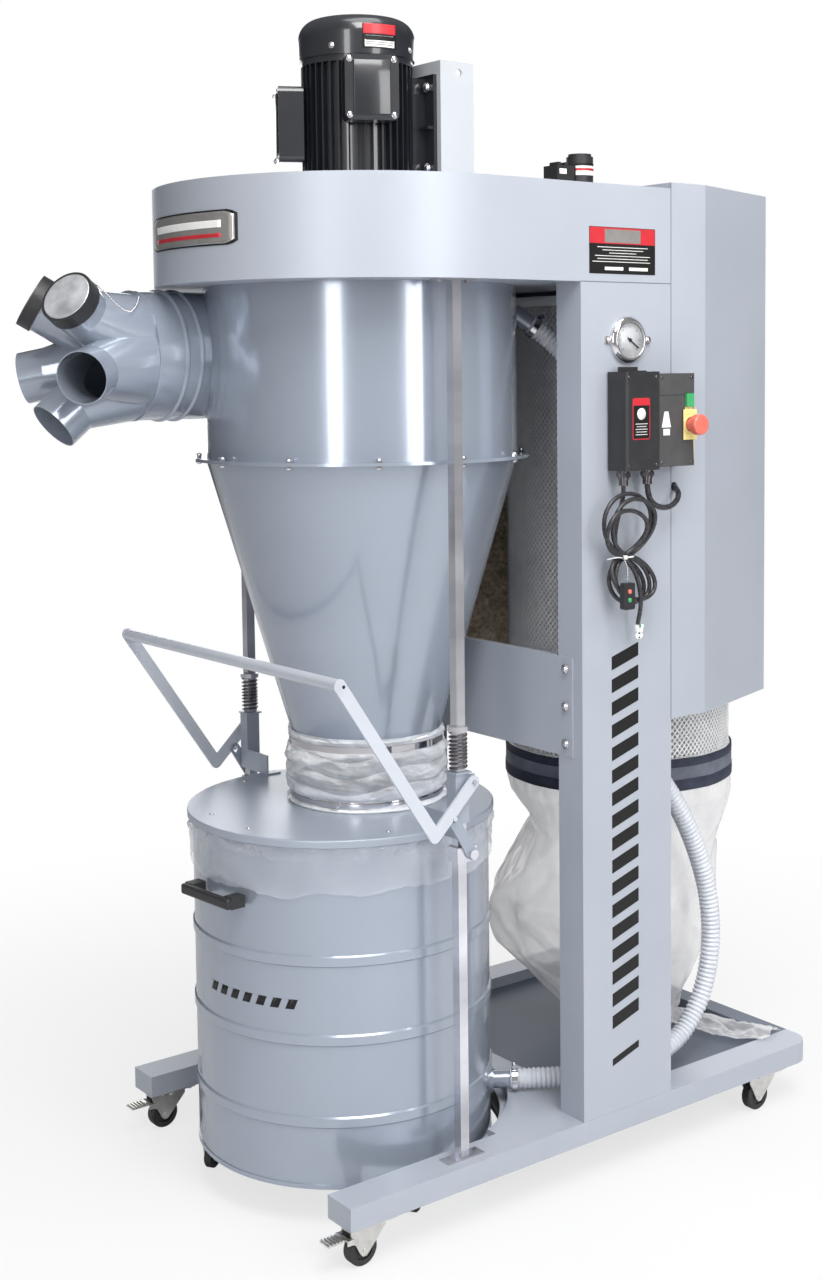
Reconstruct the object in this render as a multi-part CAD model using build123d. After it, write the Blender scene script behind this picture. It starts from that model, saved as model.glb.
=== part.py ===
"""Two-stage cyclone dust collector on a wheeled base, modelled in millimetres, +Z up.

The fan, motor, cyclone and filter stand on one frame; the waste drum rolls out towards -X and its
lid is raised by a bail handle. All sizes are laid out from the cyclone's axis on the floor, and
the whole machine is then moved so that the middle of its footprint is the origin.
"""
from build123d import *
from math import atan2, cos, degrees, radians, sin, tan
import os

# ---- driving dimensions -----------------------------------------------------------------------
ORIGIN_X, ORIGIN_Y = 175.808, -42.75    # middle of the footprint, measured from the cyclone's axis
FLOOR = 8.0                           # level the wheels stand on
SHEET = 2.0                           # body sheet metal

BASE_FRONT, BASE_REAR = -324.0, 880.0
RAIL_BOTTOM, RAIL_TOP = 91.0, 134.0
RAIL_INNER, RAIL_OUTER = 325.0, 396.5  # half widths
TRAY_FRONT, TRAY_REAR, TRAY_DEPTH = 300.0, 835.0, 25.0

POST_FRONT, POST_REAR = 220.7, 454.8
POST_FACE, POST_DEPTH = 395.5, 68.0
HOUSING_BOTTOM, HOUSING_TOP, HOUSING_R = 1740.0, 1922.0, 395.5

BARREL_R, FLANGE_R, FLANGE_Z = 304.5, 328.8, 1412.5
SPOUT_R, SPOUT_Z, CONE_BOTTOM = 148.9, 850.0, 875.0
DUCT_R, DUCT_Y, DUCT_Z, DUCT_END = 122.0, 180.0, 1611.0, -402.0
PORT_R, PORT_COUNT, PORT_TILT = 49.0, 5, 40.0
PORT_RIM_X, PORT_RIM_RADIUS, PORT_STUB = -566.0, 128.0, 48.0

DRUM_X, DRUM_R, DRUM_BOTTOM, DRUM_TOP = -63.0, 290.0, 81.0, 721.5
BELTS = (207.0, 361.0, 509.0)
LID_R, LID_BOTTOM, LID_TOP = 300.5, 722.0, 736.0
COLLAR_R, COLLAR_TOP = 148.0, 776.0

ROD_X, ROD_Y, ROD_SIDE = -50.0, 360.0, 19.0
PIVOT_A = (-34.0, 704.0)              # link to rod clamp, (x, z)
PIVOT_B = (-79.0, 777.6)              # link to handle
PIVOT_C = (-33.6, 837.5)              # handle to lid bracket
ELBOW = (-122.0, 752.0)
BAIL = (-321.7, 1047.6)
SEAT_Z, TOP_COLLAR_Z = 856.0, 930.0

FILTER_X, FILTER_R, FILTER_TOP = 685.0, 244.0, 1730.0
RING_TOP, RING_BOTTOM = 755.0, 690.0
HOOD_BOTTOM, HOOD_TOP = 889.5, 1933.5
HOOD_OUTLINE = ((454.8, -395.5), (549.7, -395.5), (832.0, -298.4), (955.0, -120.0),
                (955.0, 120.0), (832.0, 298.4), (549.7, 395.5), (454.8, 395.5))

MOTOR_R, MOTOR_TOP, COWL_BOTTOM = 108.0, 2247.0, 2170.0
STATOR_BORE_R = 48.0
BOX_LEFT, BOX_SPLIT, BOX_RIGHT = 285.0, 371.0, 466.0
BOX_FACE, BOX_BOTTOM, BOX_TOP = -449.0, 1387.0, 1572.0
GAUGE = (338.0, 1631.6)

WHEEL_R, WHEEL_W, TRAIL = 30.0, 22.0, 20.0
PEDAL_PIN = (TRAIL + 30.0, 64.0)      # distance behind the swivel, and height
SMALL_WHEEL_R, SMALL_WHEEL_W, SMALL_TRAIL = 22.0, 18.0, 18.0
BASE_CASTERS = {"front_near": (-261.0, -361.0), "front_far": (-261.0, 361.0),
                "rear_near": (759.0, -361.0), "rear_far": (759.0, 361.0)}
DRUM_CASTER_RADIUS = 258.0
DRUM_CASTER_ANGLES = (147.0, 27.0, -93.0)
DRUM_CASTER_HEADING = 212.0

HOSE_D, CORD_D, LEAD_D = 41.0, 8.5, 11.0
HOSE_ANGLE, HOSE_DIP = -30.0, 35.0    # azimuth and downward slope of the barrel's hose tail
SPIGOT_ANGLE, SPIGOT_Z = -35.0, 158.0
HOSE_ROUTE = [
    (291.4, -168.3, 1666.2), (330, -190.6, 1635), (352, -232, 1581), (356, -287, 1516),
    (351, -332, 1438), (343, -354, 1345), (345, -357, 1215), (352, -358, 1085), (364, -349, 981),
    (401, -312, 895), (458, -288, 824), (524, -284, 752), (585, -287, 672), (634, -289, 580),
    (671, -290, 478), (683, -290, 370), (661, -289, 262), (598, -288, 182), (520, -290, 158),
    (440, -287, 156), (365, -272, 158), (312, -255, 157), (257, -224, 158), (206.5, -188.7, 158)]
LEAD_ROUTE = [(362, -425, 1358.2), (364, -425, 1337), (376, -426, 1320), (399, -428, 1311),
              (424, -428, 1313), (446, -424, 1326), (459, -412, 1341), (463, -395, 1348)]

parts = {}


# ---- helpers ----------------------------------------------------------------------------------
def block(x0, x1, y0, y1, z0, z1):
    """A box between two corners."""
    box = Box(abs(x1 - x0), abs(y1 - y0), abs(z1 - z0))
    return Pos((x0 + x1) / 2, (y0 + y1) / 2, (z0 + z1) / 2) * box


def drum_of(radius, z0, z1, x=0.0, y=0.0):
    """A round bar along Z."""
    return Pos(x, y, (z0 + z1) / 2) * Cylinder(radius, z1 - z0)


def ring_of(outer, inner, z0, z1, x=0.0, y=0.0):
    """A round tube along Z."""
    return drum_of(outer, z0, z1, x, y) - drum_of(inner, z0 - 1, z1 + 1, x, y)


def bar_between(start, end, radius):
    """A round bar between two points."""
    a, b = Vector(*start), Vector(*end)
    plane = Plane(origin=a, z_dir=b - a)
    return extrude(plane * Circle(radius), (b - a).length)


def tube_between(start, end, outer, inner):
    """A round tube between two points, cut square at both ends."""
    a, b = Vector(*start), Vector(*end)
    plane = Plane(origin=a, z_dir=b - a)
    return extrude(plane * (Circle(outer) - Circle(inner)), (b - a).length)


def polar(radius, angle, x=0.0, y=0.0):
    """A point at an azimuth round a vertical axis."""
    return x + radius * cos(radians(angle)), y + radius * sin(radians(angle))


def flat_link(p, q, width, y0, y1):
    """A flat bar with round ends in an X-Z plane, between two (x, z) points."""
    a, b = Vector(p[0], y0, p[1]), Vector(q[0], y0, q[1])
    run = b - a
    middle = (a + b) / 2
    plane = Plane(origin=(middle.X, min(y0, y1), middle.Z), x_dir=run, z_dir=(0, -1, 0))
    plane = plane.offset(-abs(y1 - y0))
    return extrude(plane * SlotCenterToCenter(run.length, width), abs(y1 - y0))


def across(x, z, radius, y0, y1):
    """A round bar along Y."""
    return Pos(x, (y0 + y1) / 2, z) * Rot(90, 0, 0) * Cylinder(radius, abs(y1 - y0))


def along(x0, x1, y, z, radius):
    """A round bar along X."""
    return Pos((x0 + x1) / 2, y, z) * Rot(0, 90, 0) * Cylinder(radius, abs(x1 - x0))


def extruded_outline(points, z0, z1):
    """A prism over a closed outline of (x, y) points."""
    face = make_face(Polyline(*[(x, y, z0) for x, y in points], close=True))
    return extrude(face, z1 - z0, dir=(0, 0, 1))


def corner_radii(route):
    """Arc radius at each inner point of a cord's route, as large as its two runs allow."""
    points = [Vector(*p) for p in route]
    radii = []
    for before, here, after in zip(points, points[1:], points[2:]):
        turn = (here - before).get_angle(after - here)
        run = min((here - before).length, (after - here).length)
        radii.append(0.45 * run / tan(radians(turn / 2)))
    return radii


def cord_tube(name, route, diameter):
    """A cord's stand-in: straight runs joined by tangent arcs."""
    radii = corner_radii(route)
    path = FilletPolyline(*route, radius=radii)
    start = Plane(origin=path @ 0, z_dir=path % 0)
    tube = sweep(start * Circle(diameter / 2), path)
    length = path.length
    area = 3.14159265 * diameter ** 2 / 4
    print(name, "length", round(length), "volume ratio", round(tube.volume / (area * length), 3),
          "radii", [round(r) for r in radii])
    return tube


def hex_bolt(x, y, z, size=6.0, head=4.0):
    """A bolt head standing on a horizontal face."""
    return extrude(Pos(x, y, z) * RegularPolygon(size * 0.9, 6), head)


def save(name, *solids):
    """Keep one named sub-part, moved to the machine's origin."""
    moved = [Pos(-ORIGIN_X, -ORIGIN_Y, -FLOOR) * s for s in solids]
    parts[name] = moved[0] if len(moved) == 1 else Compound(children=[c for m in moved for c in m.solids()])


# ---- wheeled base -----------------------------------------------------------------------------
def base_rail(side):
    """One folded side rail, open below, with a round rear corner."""
    outer = block(BASE_FRONT, BASE_REAR, side * RAIL_INNER, side * RAIL_OUTER, RAIL_BOTTOM, RAIL_TOP)
    corner = [e for e in outer.edges().filter_by(Axis.Z)
              if e.center().X > BASE_REAR - 1 and abs(e.center().Y) > RAIL_OUTER - 1]
    outer = fillet(corner, 45)
    wall = 3.0
    inner = block(BASE_FRONT + wall, BASE_REAR - wall, side * (RAIL_INNER + wall),
                  side * (RAIL_OUTER - wall), RAIL_BOTTOM - 1, RAIL_TOP - wall)
    corner = [e for e in inner.edges().filter_by(Axis.Z)
              if e.center().X > BASE_REAR - wall - 1 and abs(e.center().Y) > RAIL_OUTER - wall - 1]
    return outer - fillet(corner, 45 - wall)


def platform():
    """The rear deck between the rails: cut round the drum, with a sunk tray behind the posts."""
    wall, front = 3.0, 60.0
    tray_floor = RAIL_TOP - TRAY_DEPTH
    cut_r = RAIL_INNER - 1.0
    deck = block(front, BASE_REAR, -RAIL_INNER, RAIL_INNER, RAIL_BOTTOM, RAIL_TOP)
    deck -= drum_of(cut_r, RAIL_BOTTOM - 1, RAIL_TOP + 1, DRUM_X)
    deck -= block(TRAY_FRONT, TRAY_REAR, -RAIL_INNER - 1, RAIL_INNER + 1, tray_floor, RAIL_TOP + 1)
    inner_y = RAIL_INNER - wall
    hollow = block(front + wall, TRAY_FRONT - wall, -inner_y, inner_y, RAIL_BOTTOM - 1, RAIL_TOP - wall)
    hollow += block(TRAY_FRONT - wall, TRAY_REAR + wall, -inner_y, inner_y, RAIL_BOTTOM - 1,
                    tray_floor - wall)
    hollow += block(TRAY_REAR + wall, BASE_REAR - wall, -inner_y, inner_y, RAIL_BOTTOM - 1,
                    RAIL_TOP - wall)
    hollow -= drum_of(cut_r + wall, RAIL_BOTTOM - 2, RAIL_TOP + 1, DRUM_X)
    return deck - hollow


def post(side):
    """A folded channel upright, open towards the machine's middle."""
    wall, face = 3.0, side * POST_FACE
    inner = side * (POST_FACE - POST_DEPTH)
    shell = block(POST_FRONT, POST_REAR, inner, face, RAIL_TOP, HOUSING_BOTTOM)
    shell -= block(POST_FRONT + wall, POST_REAR - wall, inner - side, face - side * wall,
                   RAIL_TOP - 1, HOUSING_BOTTOM + 1)
    return shell


def brace_panel():
    """The cross panel that ties the posts, with stiffening lips."""
    panel = block(POST_FRONT - SHEET, POST_FRONT, -369, 369, 842, 1033)
    for z in (842, 1033 - SHEET):
        panel += block(POST_FRONT - SHEET, POST_FRONT + 14, -320, 320, z, z + SHEET)
    return panel


def frame_bolts():
    """Visible fixed fasteners: brace, barrel ring, rod feet, rod heads and motor feet."""
    bolts = []
    for side in (-1, 1):
        for z in (866, 938, 1010):
            bolts.append(along(POST_FRONT - SHEET - 4, POST_FRONT - SHEET, side * 352, z, 6))
        for dx in (-30, 30):
            bolts.append(hex_bolt(ROD_X + dx, side * ROD_Y, RAIL_TOP + 3))
            bolts.append(hex_bolt(ROD_X + dx, side * ROD_Y, HOUSING_BOTTOM - 7))
    for k in range(12):
        x, y = polar(317, 8.3 - 90 - 37.9 + 30 * k)
        bolts.append(hex_bolt(x, y, FLANGE_Z + 3))
        bolts.append(hex_bolt(x, y, FLANGE_Z - 7))
    for y in (-86, 86):
        for z in (1968, 2122):
            bolts.append(along(102, 109, y, z, 8))
    return bolts


def caster_plates():
    """Mounting plates with swivel raceways under the rails."""
    plates = []
    for x, y in BASE_CASTERS.values():
        plate = block(x - 40, x + 40, y - 33, y + 33, RAIL_BOTTOM - 3, RAIL_BOTTOM)
        plate += drum_of(22, RAIL_BOTTOM - 9, RAIL_BOTTOM - 3, x, y)
        for dx in (-31, 31):
            for dy in (-24, 24):
                plate += drum_of(5, RAIL_BOTTOM - 7, RAIL_BOTTOM - 3, x + dx, y + dy)
        plates.append(plate)
    return plates


def caster_fork(x, y, top, wheel_r, wheel_w, trail, angle, braked=False):
    """A swivel fork whose wheel trails along the given azimuth, with lugs for a brake pedal."""
    gap = wheel_w / 2 + 1.5
    leg = 2.5
    axle = FLOOR + wheel_r
    back, front = -0.85 * wheel_r, 1.65 * wheel_r
    fork = drum_of(wheel_r * 0.62, top - 5, top)
    for side in (-1, 1):
        cheek = make_face(Polyline((back, 0, top - 3), (front, 0, top - 3), (front, 0, top - 9),
                                   (trail + 9, 0, axle - 5), (trail + 4, 0, axle - 10),
                                   (trail - 4, 0, axle - 10), (trail - 9, 0, axle - 5),
                                   (back, 0, top - 9), close=True))
        y0 = side * gap if side > 0 else -gap - leg
        fork += Pos(0, y0, 0) * extrude(cheek, leg, dir=(0, 1, 0))
        if braked:
            fork += flat_link((trail + 8, axle + 16), PEDAL_PIN, 11, y0, y0 + leg)
    fork += block(back, front, -gap - leg, gap + leg, top - 5, top - 2)
    fork += across(trail, axle, 4, -gap - leg - 2, gap + leg + 2)
    if braked:
        fork -= across(*PEDAL_PIN, 2.8, -gap - leg - 1, gap + leg + 1)
    return Pos(x, y, 0) * Rot(0, 0, angle) * fork


def caster_wheel(x, y, wheel_r, wheel_w, trail, angle):
    """A tyre on a hub, bored for its axle."""
    half, axle = wheel_w / 2, FLOOR + wheel_r
    wheel = across(trail, axle, wheel_r, -half, half)
    wheel = chamfer(wheel.edges().filter_by(GeomType.CIRCLE), 2.5)
    wheel -= across(trail, axle, 4.3, -half - 1, half + 1)
    for side in (-1, 1):
        dish = across(trail, axle, wheel_r * 0.62, side * (half - 3), side * (half + 1))
        dish -= across(trail, axle, wheel_r * 0.3, side * (half - 3), side * (half + 1))
        wheel -= dish
    return Pos(x, y, 0) * Rot(0, 0, angle) * wheel


def brake_pedal(x, y, angle):
    """The stepped pedal that locks a front caster, seen in its raised place."""
    pin_x, pin_z = PEDAL_PIN
    pedal = block(pin_x + 6, pin_x + 46, -14, 14, pin_z + 2, pin_z + 5)
    for k in range(5):
        pedal += block(pin_x + 13 + 7 * k, pin_x + 16 + 7 * k, -14, 14, pin_z + 5, pin_z + 7)
    pedal += across(pin_x, pin_z, 2.5, -20, 20)
    for side in (-1, 1):
        pedal += block(pin_x - 5, pin_x + 9, side * 17.5, side * 20, pin_z - 5, pin_z + 5)
        pedal += block(pin_x + 6, pin_x + 9, side * 11, side * 20, pin_z + 2, pin_z + 5)
    return Pos(x, y, 0) * Rot(0, 0, angle) * pedal


# ---- fan housing, cyclone and inlet -------------------------------------------------------------
def blower_housing():
    """The fan housing: a round-nosed sheet box with the cyclone's outlet tube under it."""
    def plan(inset, z0, z1, rear):
        shape = drum_of(HOUSING_R - inset, z0, z1)
        return shape + block(0, rear, -HOUSING_R + inset, HOUSING_R - inset, z0, z1)
    shell = plan(0, HOUSING_BOTTOM, HOUSING_TOP, POST_REAR)
    shell -= plan(SHEET, HOUSING_BOTTOM + SHEET, HOUSING_TOP - SHEET, POST_REAR + 1)
    shell -= drum_of(150, HOUSING_BOTTOM - 1, HOUSING_BOTTOM + 4)
    shell -= drum_of(24, HOUSING_TOP - 4, HOUSING_TOP + 1)
    outlet = ring_of(150, 148, 1545, HOUSING_BOTTOM + SHEET) + ring_of(190, 148, 1734, HOUSING_BOTTOM)
    return shell, outlet


def cyclone_barrel():
    """The barrel with its tangential inlet duct, bolting ring and hose tail."""
    top = HOUSING_BOTTOM
    body = drum_of(BARREL_R, FLANGE_Z, top) + along(DUCT_END, 0, DUCT_Y, DUCT_Z, DUCT_R)
    for x in (-350, -319):
        bead = along(x - 5, x + 5, DUCT_Y, DUCT_Z, DUCT_R + 4)
        body += chamfer(bead.edges().filter_by(GeomType.CIRCLE), 3.5)
    root = Vector(*polar(BARREL_R - 8, HOSE_ANGLE), 1694)
    dip = radians(HOSE_DIP)
    heading = Vector(*polar(cos(dip), HOSE_ANGLE), -sin(dip))
    body += bar_between(root, root + heading * 48, 17)
    body += ring_of(FLANGE_R, BARREL_R - 1, FLANGE_Z, FLANGE_Z + 3)
    body -= drum_of(BARREL_R - SHEET, FLANGE_Z - 1, top + 1)
    body -= along(DUCT_END - 1, -100, DUCT_Y, DUCT_Z, DUCT_R - SHEET)
    return body - bar_between(root - heading * 12, root + heading * 50, 15)


def cyclone_cone():
    """The cone below the barrel, ending in a short spout for the flexible sleeve."""
    height = FLANGE_Z - CONE_BOTTOM
    middle = (FLANGE_Z + CONE_BOTTOM) / 2
    outer = Pos(0, 0, middle) * Cone(SPOUT_R, BARREL_R, height)
    inner = Pos(0, 0, middle) * Cone(SPOUT_R - SHEET, BARREL_R - SHEET, height)
    cone = outer - inner
    cone += ring_of(SPOUT_R, SPOUT_R - SHEET, SPOUT_Z, CONE_BOTTOM)
    cone += ring_of(FLANGE_R, BARREL_R - 1.5, FLANGE_Z - 3, FLANGE_Z)
    return cone


def port_frames():
    """Rim centre and outward direction of each of the five inlet ports."""
    frames = []
    for k in range(PORT_COUNT):
        angle = radians(-18 + 72 * k)
        spread = Vector(0, -cos(angle), sin(angle))
        rim = Vector(PORT_RIM_X, DUCT_Y, DUCT_Z) + spread * PORT_RIM_RADIUS
        direction = Vector(-cos(radians(PORT_TILT)), 0, 0) + spread * sin(radians(PORT_TILT))
        frames.append((rim, direction, spread))
    return frames


def port_manifold():
    """Five tapering branches that leave one round duct, with plain stubs for 100 mm hose."""
    wall = SHEET
    outer = along(DUCT_END, DUCT_END - 6, DUCT_Y, DUCT_Z, DUCT_R + 1.5)
    inner = None
    stubs = []
    for rim, direction, spread in port_frames():
        root = Vector(DUCT_END, DUCT_Y, DUCT_Z) + spread * 36
        neck = rim - direction * PORT_STUB
        root_plane = Plane(origin=root, z_dir=(-1, 0, 0))
        neck_plane = Plane(origin=neck, z_dir=direction)
        branch = loft([root_plane * Circle(86), neck_plane * Circle(PORT_R)])
        stubs.append(extrude(neck_plane * (Circle(PORT_R) - Circle(PORT_R - wall)), PORT_STUB))
        core = loft([root_plane * Circle(86 - wall), neck_plane * Circle(PORT_R - wall)])
        outer += branch
        inner = core if inner is None else inner + core
    return [outer - inner] + stubs


def port_cap(rim, direction):
    """A push-on cap over a port's rim."""
    plane = Plane(origin=rim - direction * 22, z_dir=direction)
    cap = extrude(plane * Circle(PORT_R + 3.2), 27)
    return cap - extrude(plane.offset(-1) * Circle(PORT_R + 0.4), 24)


# ---- motor and fan ------------------------------------------------------------------------------
def motor_body():
    """The finned stator with its end bell and the four mounting feet."""
    body = drum_of(MOTOR_R - 12, 1936, COWL_BOTTOM)
    body += drum_of(MOTOR_R, HOUSING_TOP, 1942)
    body += drum_of(MOTOR_R, 2158, COWL_BOTTOM)
    for k in range(40):
        x, y = polar(MOTOR_R - 8, 9 * k)
        fin = Pos(x, y, 2050) * Rot(0, 0, 9 * k) * Box(16, 3.4, 220)
        body += fin
    body += block(109, 116.8, -100, 100, 1944, 2146)
    for y in (-68, 68):
        body += block(60, 110, y - 4, y + 4, 1950, 2140)
        body += block(96, 110, y, y + (30 if y > 0 else -30), 2042, 2048)
    return body - drum_of(14, HOUSING_TOP - 1, 1990) - drum_of(STATOR_BORE_R, 1962, 2130)


def motor_covers():
    """The fan cowl and the two bolt-on electrical boxes."""
    cowl = drum_of(MOTOR_R + 4, COWL_BOTTOM, MOTOR_TOP)
    top_edge = [e for e in cowl.edges().filter_by(GeomType.CIRCLE) if e.center().Z > MOTOR_TOP - 1]
    cowl = fillet(top_edge, 36)
    cowl -= drum_of(MOTOR_R - 3, COWL_BOTTOM, COWL_BOTTOM + 38) + drum_of(70, COWL_BOTTOM, MOTOR_TOP - 3)
    boxes = [cowl]
    for angle, width, z0, z1, depth in ((-114, 102, 2042, 2162, 38), (153, 92, 1976, 2118, 48)):
        box = Box(depth, width, z1 - z0)
        box = fillet(box.edges().filter_by(Axis.X), 12)
        box -= Pos(-3, 0, 0) * Box(depth, width - 16, z1 - z0 - 16)
        x, y = polar(MOTOR_R + 1 + depth / 2, angle)
        boxes.append(Pos(x, y, (z0 + z1) / 2) * Rot(0, 0, angle) * box)
    return boxes


def motor_bracket():
    """The folded upright that carries the foot-mounted motor."""
    x0, x1, reach, top = 117.0, 198.0, 112.0, 2172.0
    bracket = block(x0, x1, -reach, reach, HOUSING_TOP, top)
    bracket -= block(x0 + 4, x1 + 1, -reach + 4, reach - 4, HOUSING_TOP + 4, top + 1)
    for y in (-reach, reach):
        bracket -= across(162, 2152, 7, y - 6, y + 6)
    return bracket


def impeller():
    """The fan wheel on the motor's shaft, with curved-back blades."""
    z0, z1 = 1762.0, 1862.0
    wheel = drum_of(228, z1, z1 + 4) + ring_of(228, 150, z0 - 3, z0) + drum_of(30, z0 + 20, z1)
    wheel += drum_of(12, z1, 1985) + drum_of(STATOR_BORE_R - 2, 1980, 2112)
    for k in range(10):
        x, y = polar(150, 36 * k)
        wheel += Pos(x, y, (z0 + z1) / 2) * Rot(0, 0, 36 * k + 40) * Box(150, 3, z1 - z0)
    return wheel & drum_of(228, z0 - 3, 2112)


# ---- filter stack -------------------------------------------------------------------------------
def filter_enclosure():
    """The many-sided hood over the filter, open below and towards the cyclone."""
    shell = extruded_outline(HOOD_OUTLINE, HOOD_BOTTOM, HOOD_TOP)
    inner = [(x + (-SHEET if x > 700 else 0), y - SHEET * (1 if y > 0 else -1)) for x, y in HOOD_OUTLINE]
    inner[0] = (POST_REAR - 1, inner[0][1])
    inner[-1] = (POST_REAR - 1, inner[-1][1])
    shell -= extruded_outline(inner, HOOD_BOTTOM - 1, HOOD_TOP - SHEET)
    shell += block(POST_REAR, POST_REAR + SHEET, -POST_FACE, POST_FACE, HOUSING_TOP - 20, HOOD_TOP)
    shell -= drum_of(11.5, HOOD_TOP - 5, HOOD_TOP + 1, FILTER_X)
    return shell - across(LEAD_ROUTE[-1][0], LEAD_ROUTE[-1][2], 8.5, -POST_FACE - 1, -POST_FACE + 5)


def inset_outline(gap):
    """The hood's outline moved inwards by a gap, closed at the post line."""
    face = make_face(Polyline(*HOOD_OUTLINE, close=True))
    return offset(face, -gap, kind=Kind.INTERSECTION)


def acoustic_foam():
    """The foam lining glued inside the hood's walls."""
    z0, z1 = HOOD_BOTTOM + 20, 1730.0
    outer = extrude(Pos(0, 0, z0) * inset_outline(SHEET + 1.5), z1 - z0)
    inner = extrude(Pos(0, 0, z0 - 1) * inset_outline(SHEET + 19), z1 - z0 + 2)
    foam = outer - inner - block(300, 480, -500, 500, z0 - 2, z1 + 2)
    return foam - drum_of(FILTER_R + 8, z0 - 2, z1 + 2, FILTER_X)


def filter_pleats():
    """The pleated cartridge medium."""
    count, tip, root = 56, FILTER_R - 3, FILTER_R - 36
    points = []
    for k in range(count):
        points.append(polar(tip, 360 * k / count, FILTER_X))
        points.append(polar(root, 360 * (k + 0.5) / count, FILTER_X))
    star = extruded_outline(points, RING_TOP, FILTER_TOP - 20)
    return star - drum_of(root - 6, RING_TOP - 1, FILTER_TOP, FILTER_X)


def filter_cage():
    """Top plate, outer cage and bottom ring of the cartridge."""
    cage = ring_of(FILTER_R, FILTER_R - 1.2, RING_TOP, FILTER_TOP - 20, FILTER_X)
    top = ring_of(FILTER_R + 3, 112, FILTER_TOP - 3, FILTER_TOP, FILTER_X)
    top += ring_of(FILTER_R + 3, FILTER_R, FILTER_TOP - 20, FILTER_TOP - 3, FILTER_X)
    top += ring_of(FILTER_R, FILTER_R - 1.2, FILTER_TOP - 20, FILTER_TOP - 3, FILTER_X)
    top += ring_of(116, 112, FILTER_TOP - 20, HOUSING_BOTTOM, FILTER_X)
    bottom = ring_of(FILTER_R + 2, FILTER_R - 36, RING_TOP - 3, RING_TOP, FILTER_X)
    bottom += ring_of(FILTER_R + 2, FILTER_R, RING_BOTTOM, RING_TOP - 3, FILTER_X)
    return cage + top + bottom


def dust_bag():
    """The clear fines bag, from the filter's ring down to the tray."""
    sections = ((690, 685, 0, 245), (572, 684, -3, 224), (442, 657, 21, 240), (308, 647, 29, 232),
                (190, 672, 5, 152), (112, 690, -12, 118))
    film = 2.5
    bag = loft([Pos(x, y, z) * Circle(r) for z, x, y, r in sections], ruled=True)
    tail = make_face(Polyline((700, -130), (828, -235), (832, -60), (760, 30), close=True))
    bag += extrude(Pos(0, 0, 110) * tail, 24)
    inner = [Pos(x, y, z) * Circle(r - film) for z, x, y, r in sections[:-1]]
    z, x, y, r = sections[-1]
    inner.append(Pos(x, y, z + film) * Circle(r - film))
    mouth = drum_of(sections[0][3] - film, RING_BOTTOM - 1, RING_BOTTOM + 1, FILTER_X)
    return bag - loft(inner, ruled=True) - mouth


def filter_agitator():
    """The cleaning shaft with its flapper paddles."""
    shaft = drum_of(10, 800, 1956, FILTER_X)
    for k in range(4):
        z = 900 + 240 * k
        arm = block(FILTER_X - 184, FILTER_X + 184, -14, 14, z, z + 4)
        shaft += Pos(FILTER_X, 0, 0) * Rot(0, 0, 45 * k) * Pos(-FILTER_X, 0, 0) * arm
    return shaft


def agitator_drive():
    """The gearbox plate and gear motor on the hood's roof."""
    gearbox = block(520, 720, -38, 38, HOOD_TOP, HOOD_TOP + 24)
    gearbox -= drum_of(11, HOOD_TOP - 1, HOOD_TOP + 23, FILTER_X)
    motor = drum_of(29, HOOD_TOP + 24, 2028, 577) + drum_of(25, 2028, 2034, 577)
    switch = block(494, 542, -22, 22, HOOD_TOP, 2006)
    switch += block(500, 508, -18, 10, 2006, 2013) + block(520, 528, -18, 10, 2006, 2013)
    gearbox -= block(494, 542, -40, 40, HOOD_TOP - 1, HOOD_TOP + 30)
    return gearbox, motor, switch


# ---- drum, lid and lift -------------------------------------------------------------------------
def drum_shell():
    """The open waste drum with three pressed belts, a rolled rim and the hose spigot."""
    drum = drum_of(DRUM_R, DRUM_BOTTOM, DRUM_TOP, DRUM_X)
    for z in BELTS:
        belt = drum_of(DRUM_R + 3.5, z - 11, z + 11, DRUM_X)
        drum += chamfer(belt.edges().filter_by(GeomType.CIRCLE), 3)
    drum += drum_of(DRUM_R + 2, DRUM_BOTTOM, DRUM_BOTTOM + 8, DRUM_X)
    drum += drum_of(DRUM_R + 4, DRUM_TOP - 7, DRUM_TOP, DRUM_X)
    start = polar(DRUM_R - 8, SPIGOT_ANGLE, DRUM_X)
    end = polar(DRUM_R + 38, SPIGOT_ANGLE, DRUM_X)
    plate_in = polar(DRUM_R - 4, SPIGOT_ANGLE, DRUM_X)
    plate_out = polar(DRUM_R + 5, SPIGOT_ANGLE, DRUM_X)
    drum += bar_between((*start, SPIGOT_Z), (*end, SPIGOT_Z), 17)
    drum += bar_between((*plate_in, SPIGOT_Z), (*plate_out, SPIGOT_Z), 27)
    drum -= drum_of(DRUM_R - 1.5, DRUM_BOTTOM + 2, DRUM_TOP + 1, DRUM_X)
    far = polar(DRUM_R + 60, SPIGOT_ANGLE, DRUM_X)
    near = polar(DRUM_R - 30, SPIGOT_ANGLE, DRUM_X)
    return drum - bar_between((*near, SPIGOT_Z), (*far, SPIGOT_Z), 15)


def drum_liner():
    """The cuff of the clear liner folded over the drum's rim."""
    return ring_of(DRUM_R + 6.0, DRUM_R + 4.3, 640, DRUM_TOP - 0.5, DRUM_X)


def drum_handles():
    """Two moulded grips on opposite sides of the drum."""
    grips = []
    for angle in (-175, 5):
        grip = Box(14, 150, 20)
        grip = fillet(grip.edges(), 5)
        legs = Pos(-19, -62, 0) * Box(30, 24, 22) + Pos(-19, 62, 0) * Box(30, 24, 22)
        grip += legs
        x, y = polar(DRUM_R + 34, angle, DRUM_X)
        placed = Pos(x, y, 612) * Rot(0, 0, angle) * grip
        grips.append(placed - drum_of(DRUM_R + 0.2, 560, 660, DRUM_X))
    return grips


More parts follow.
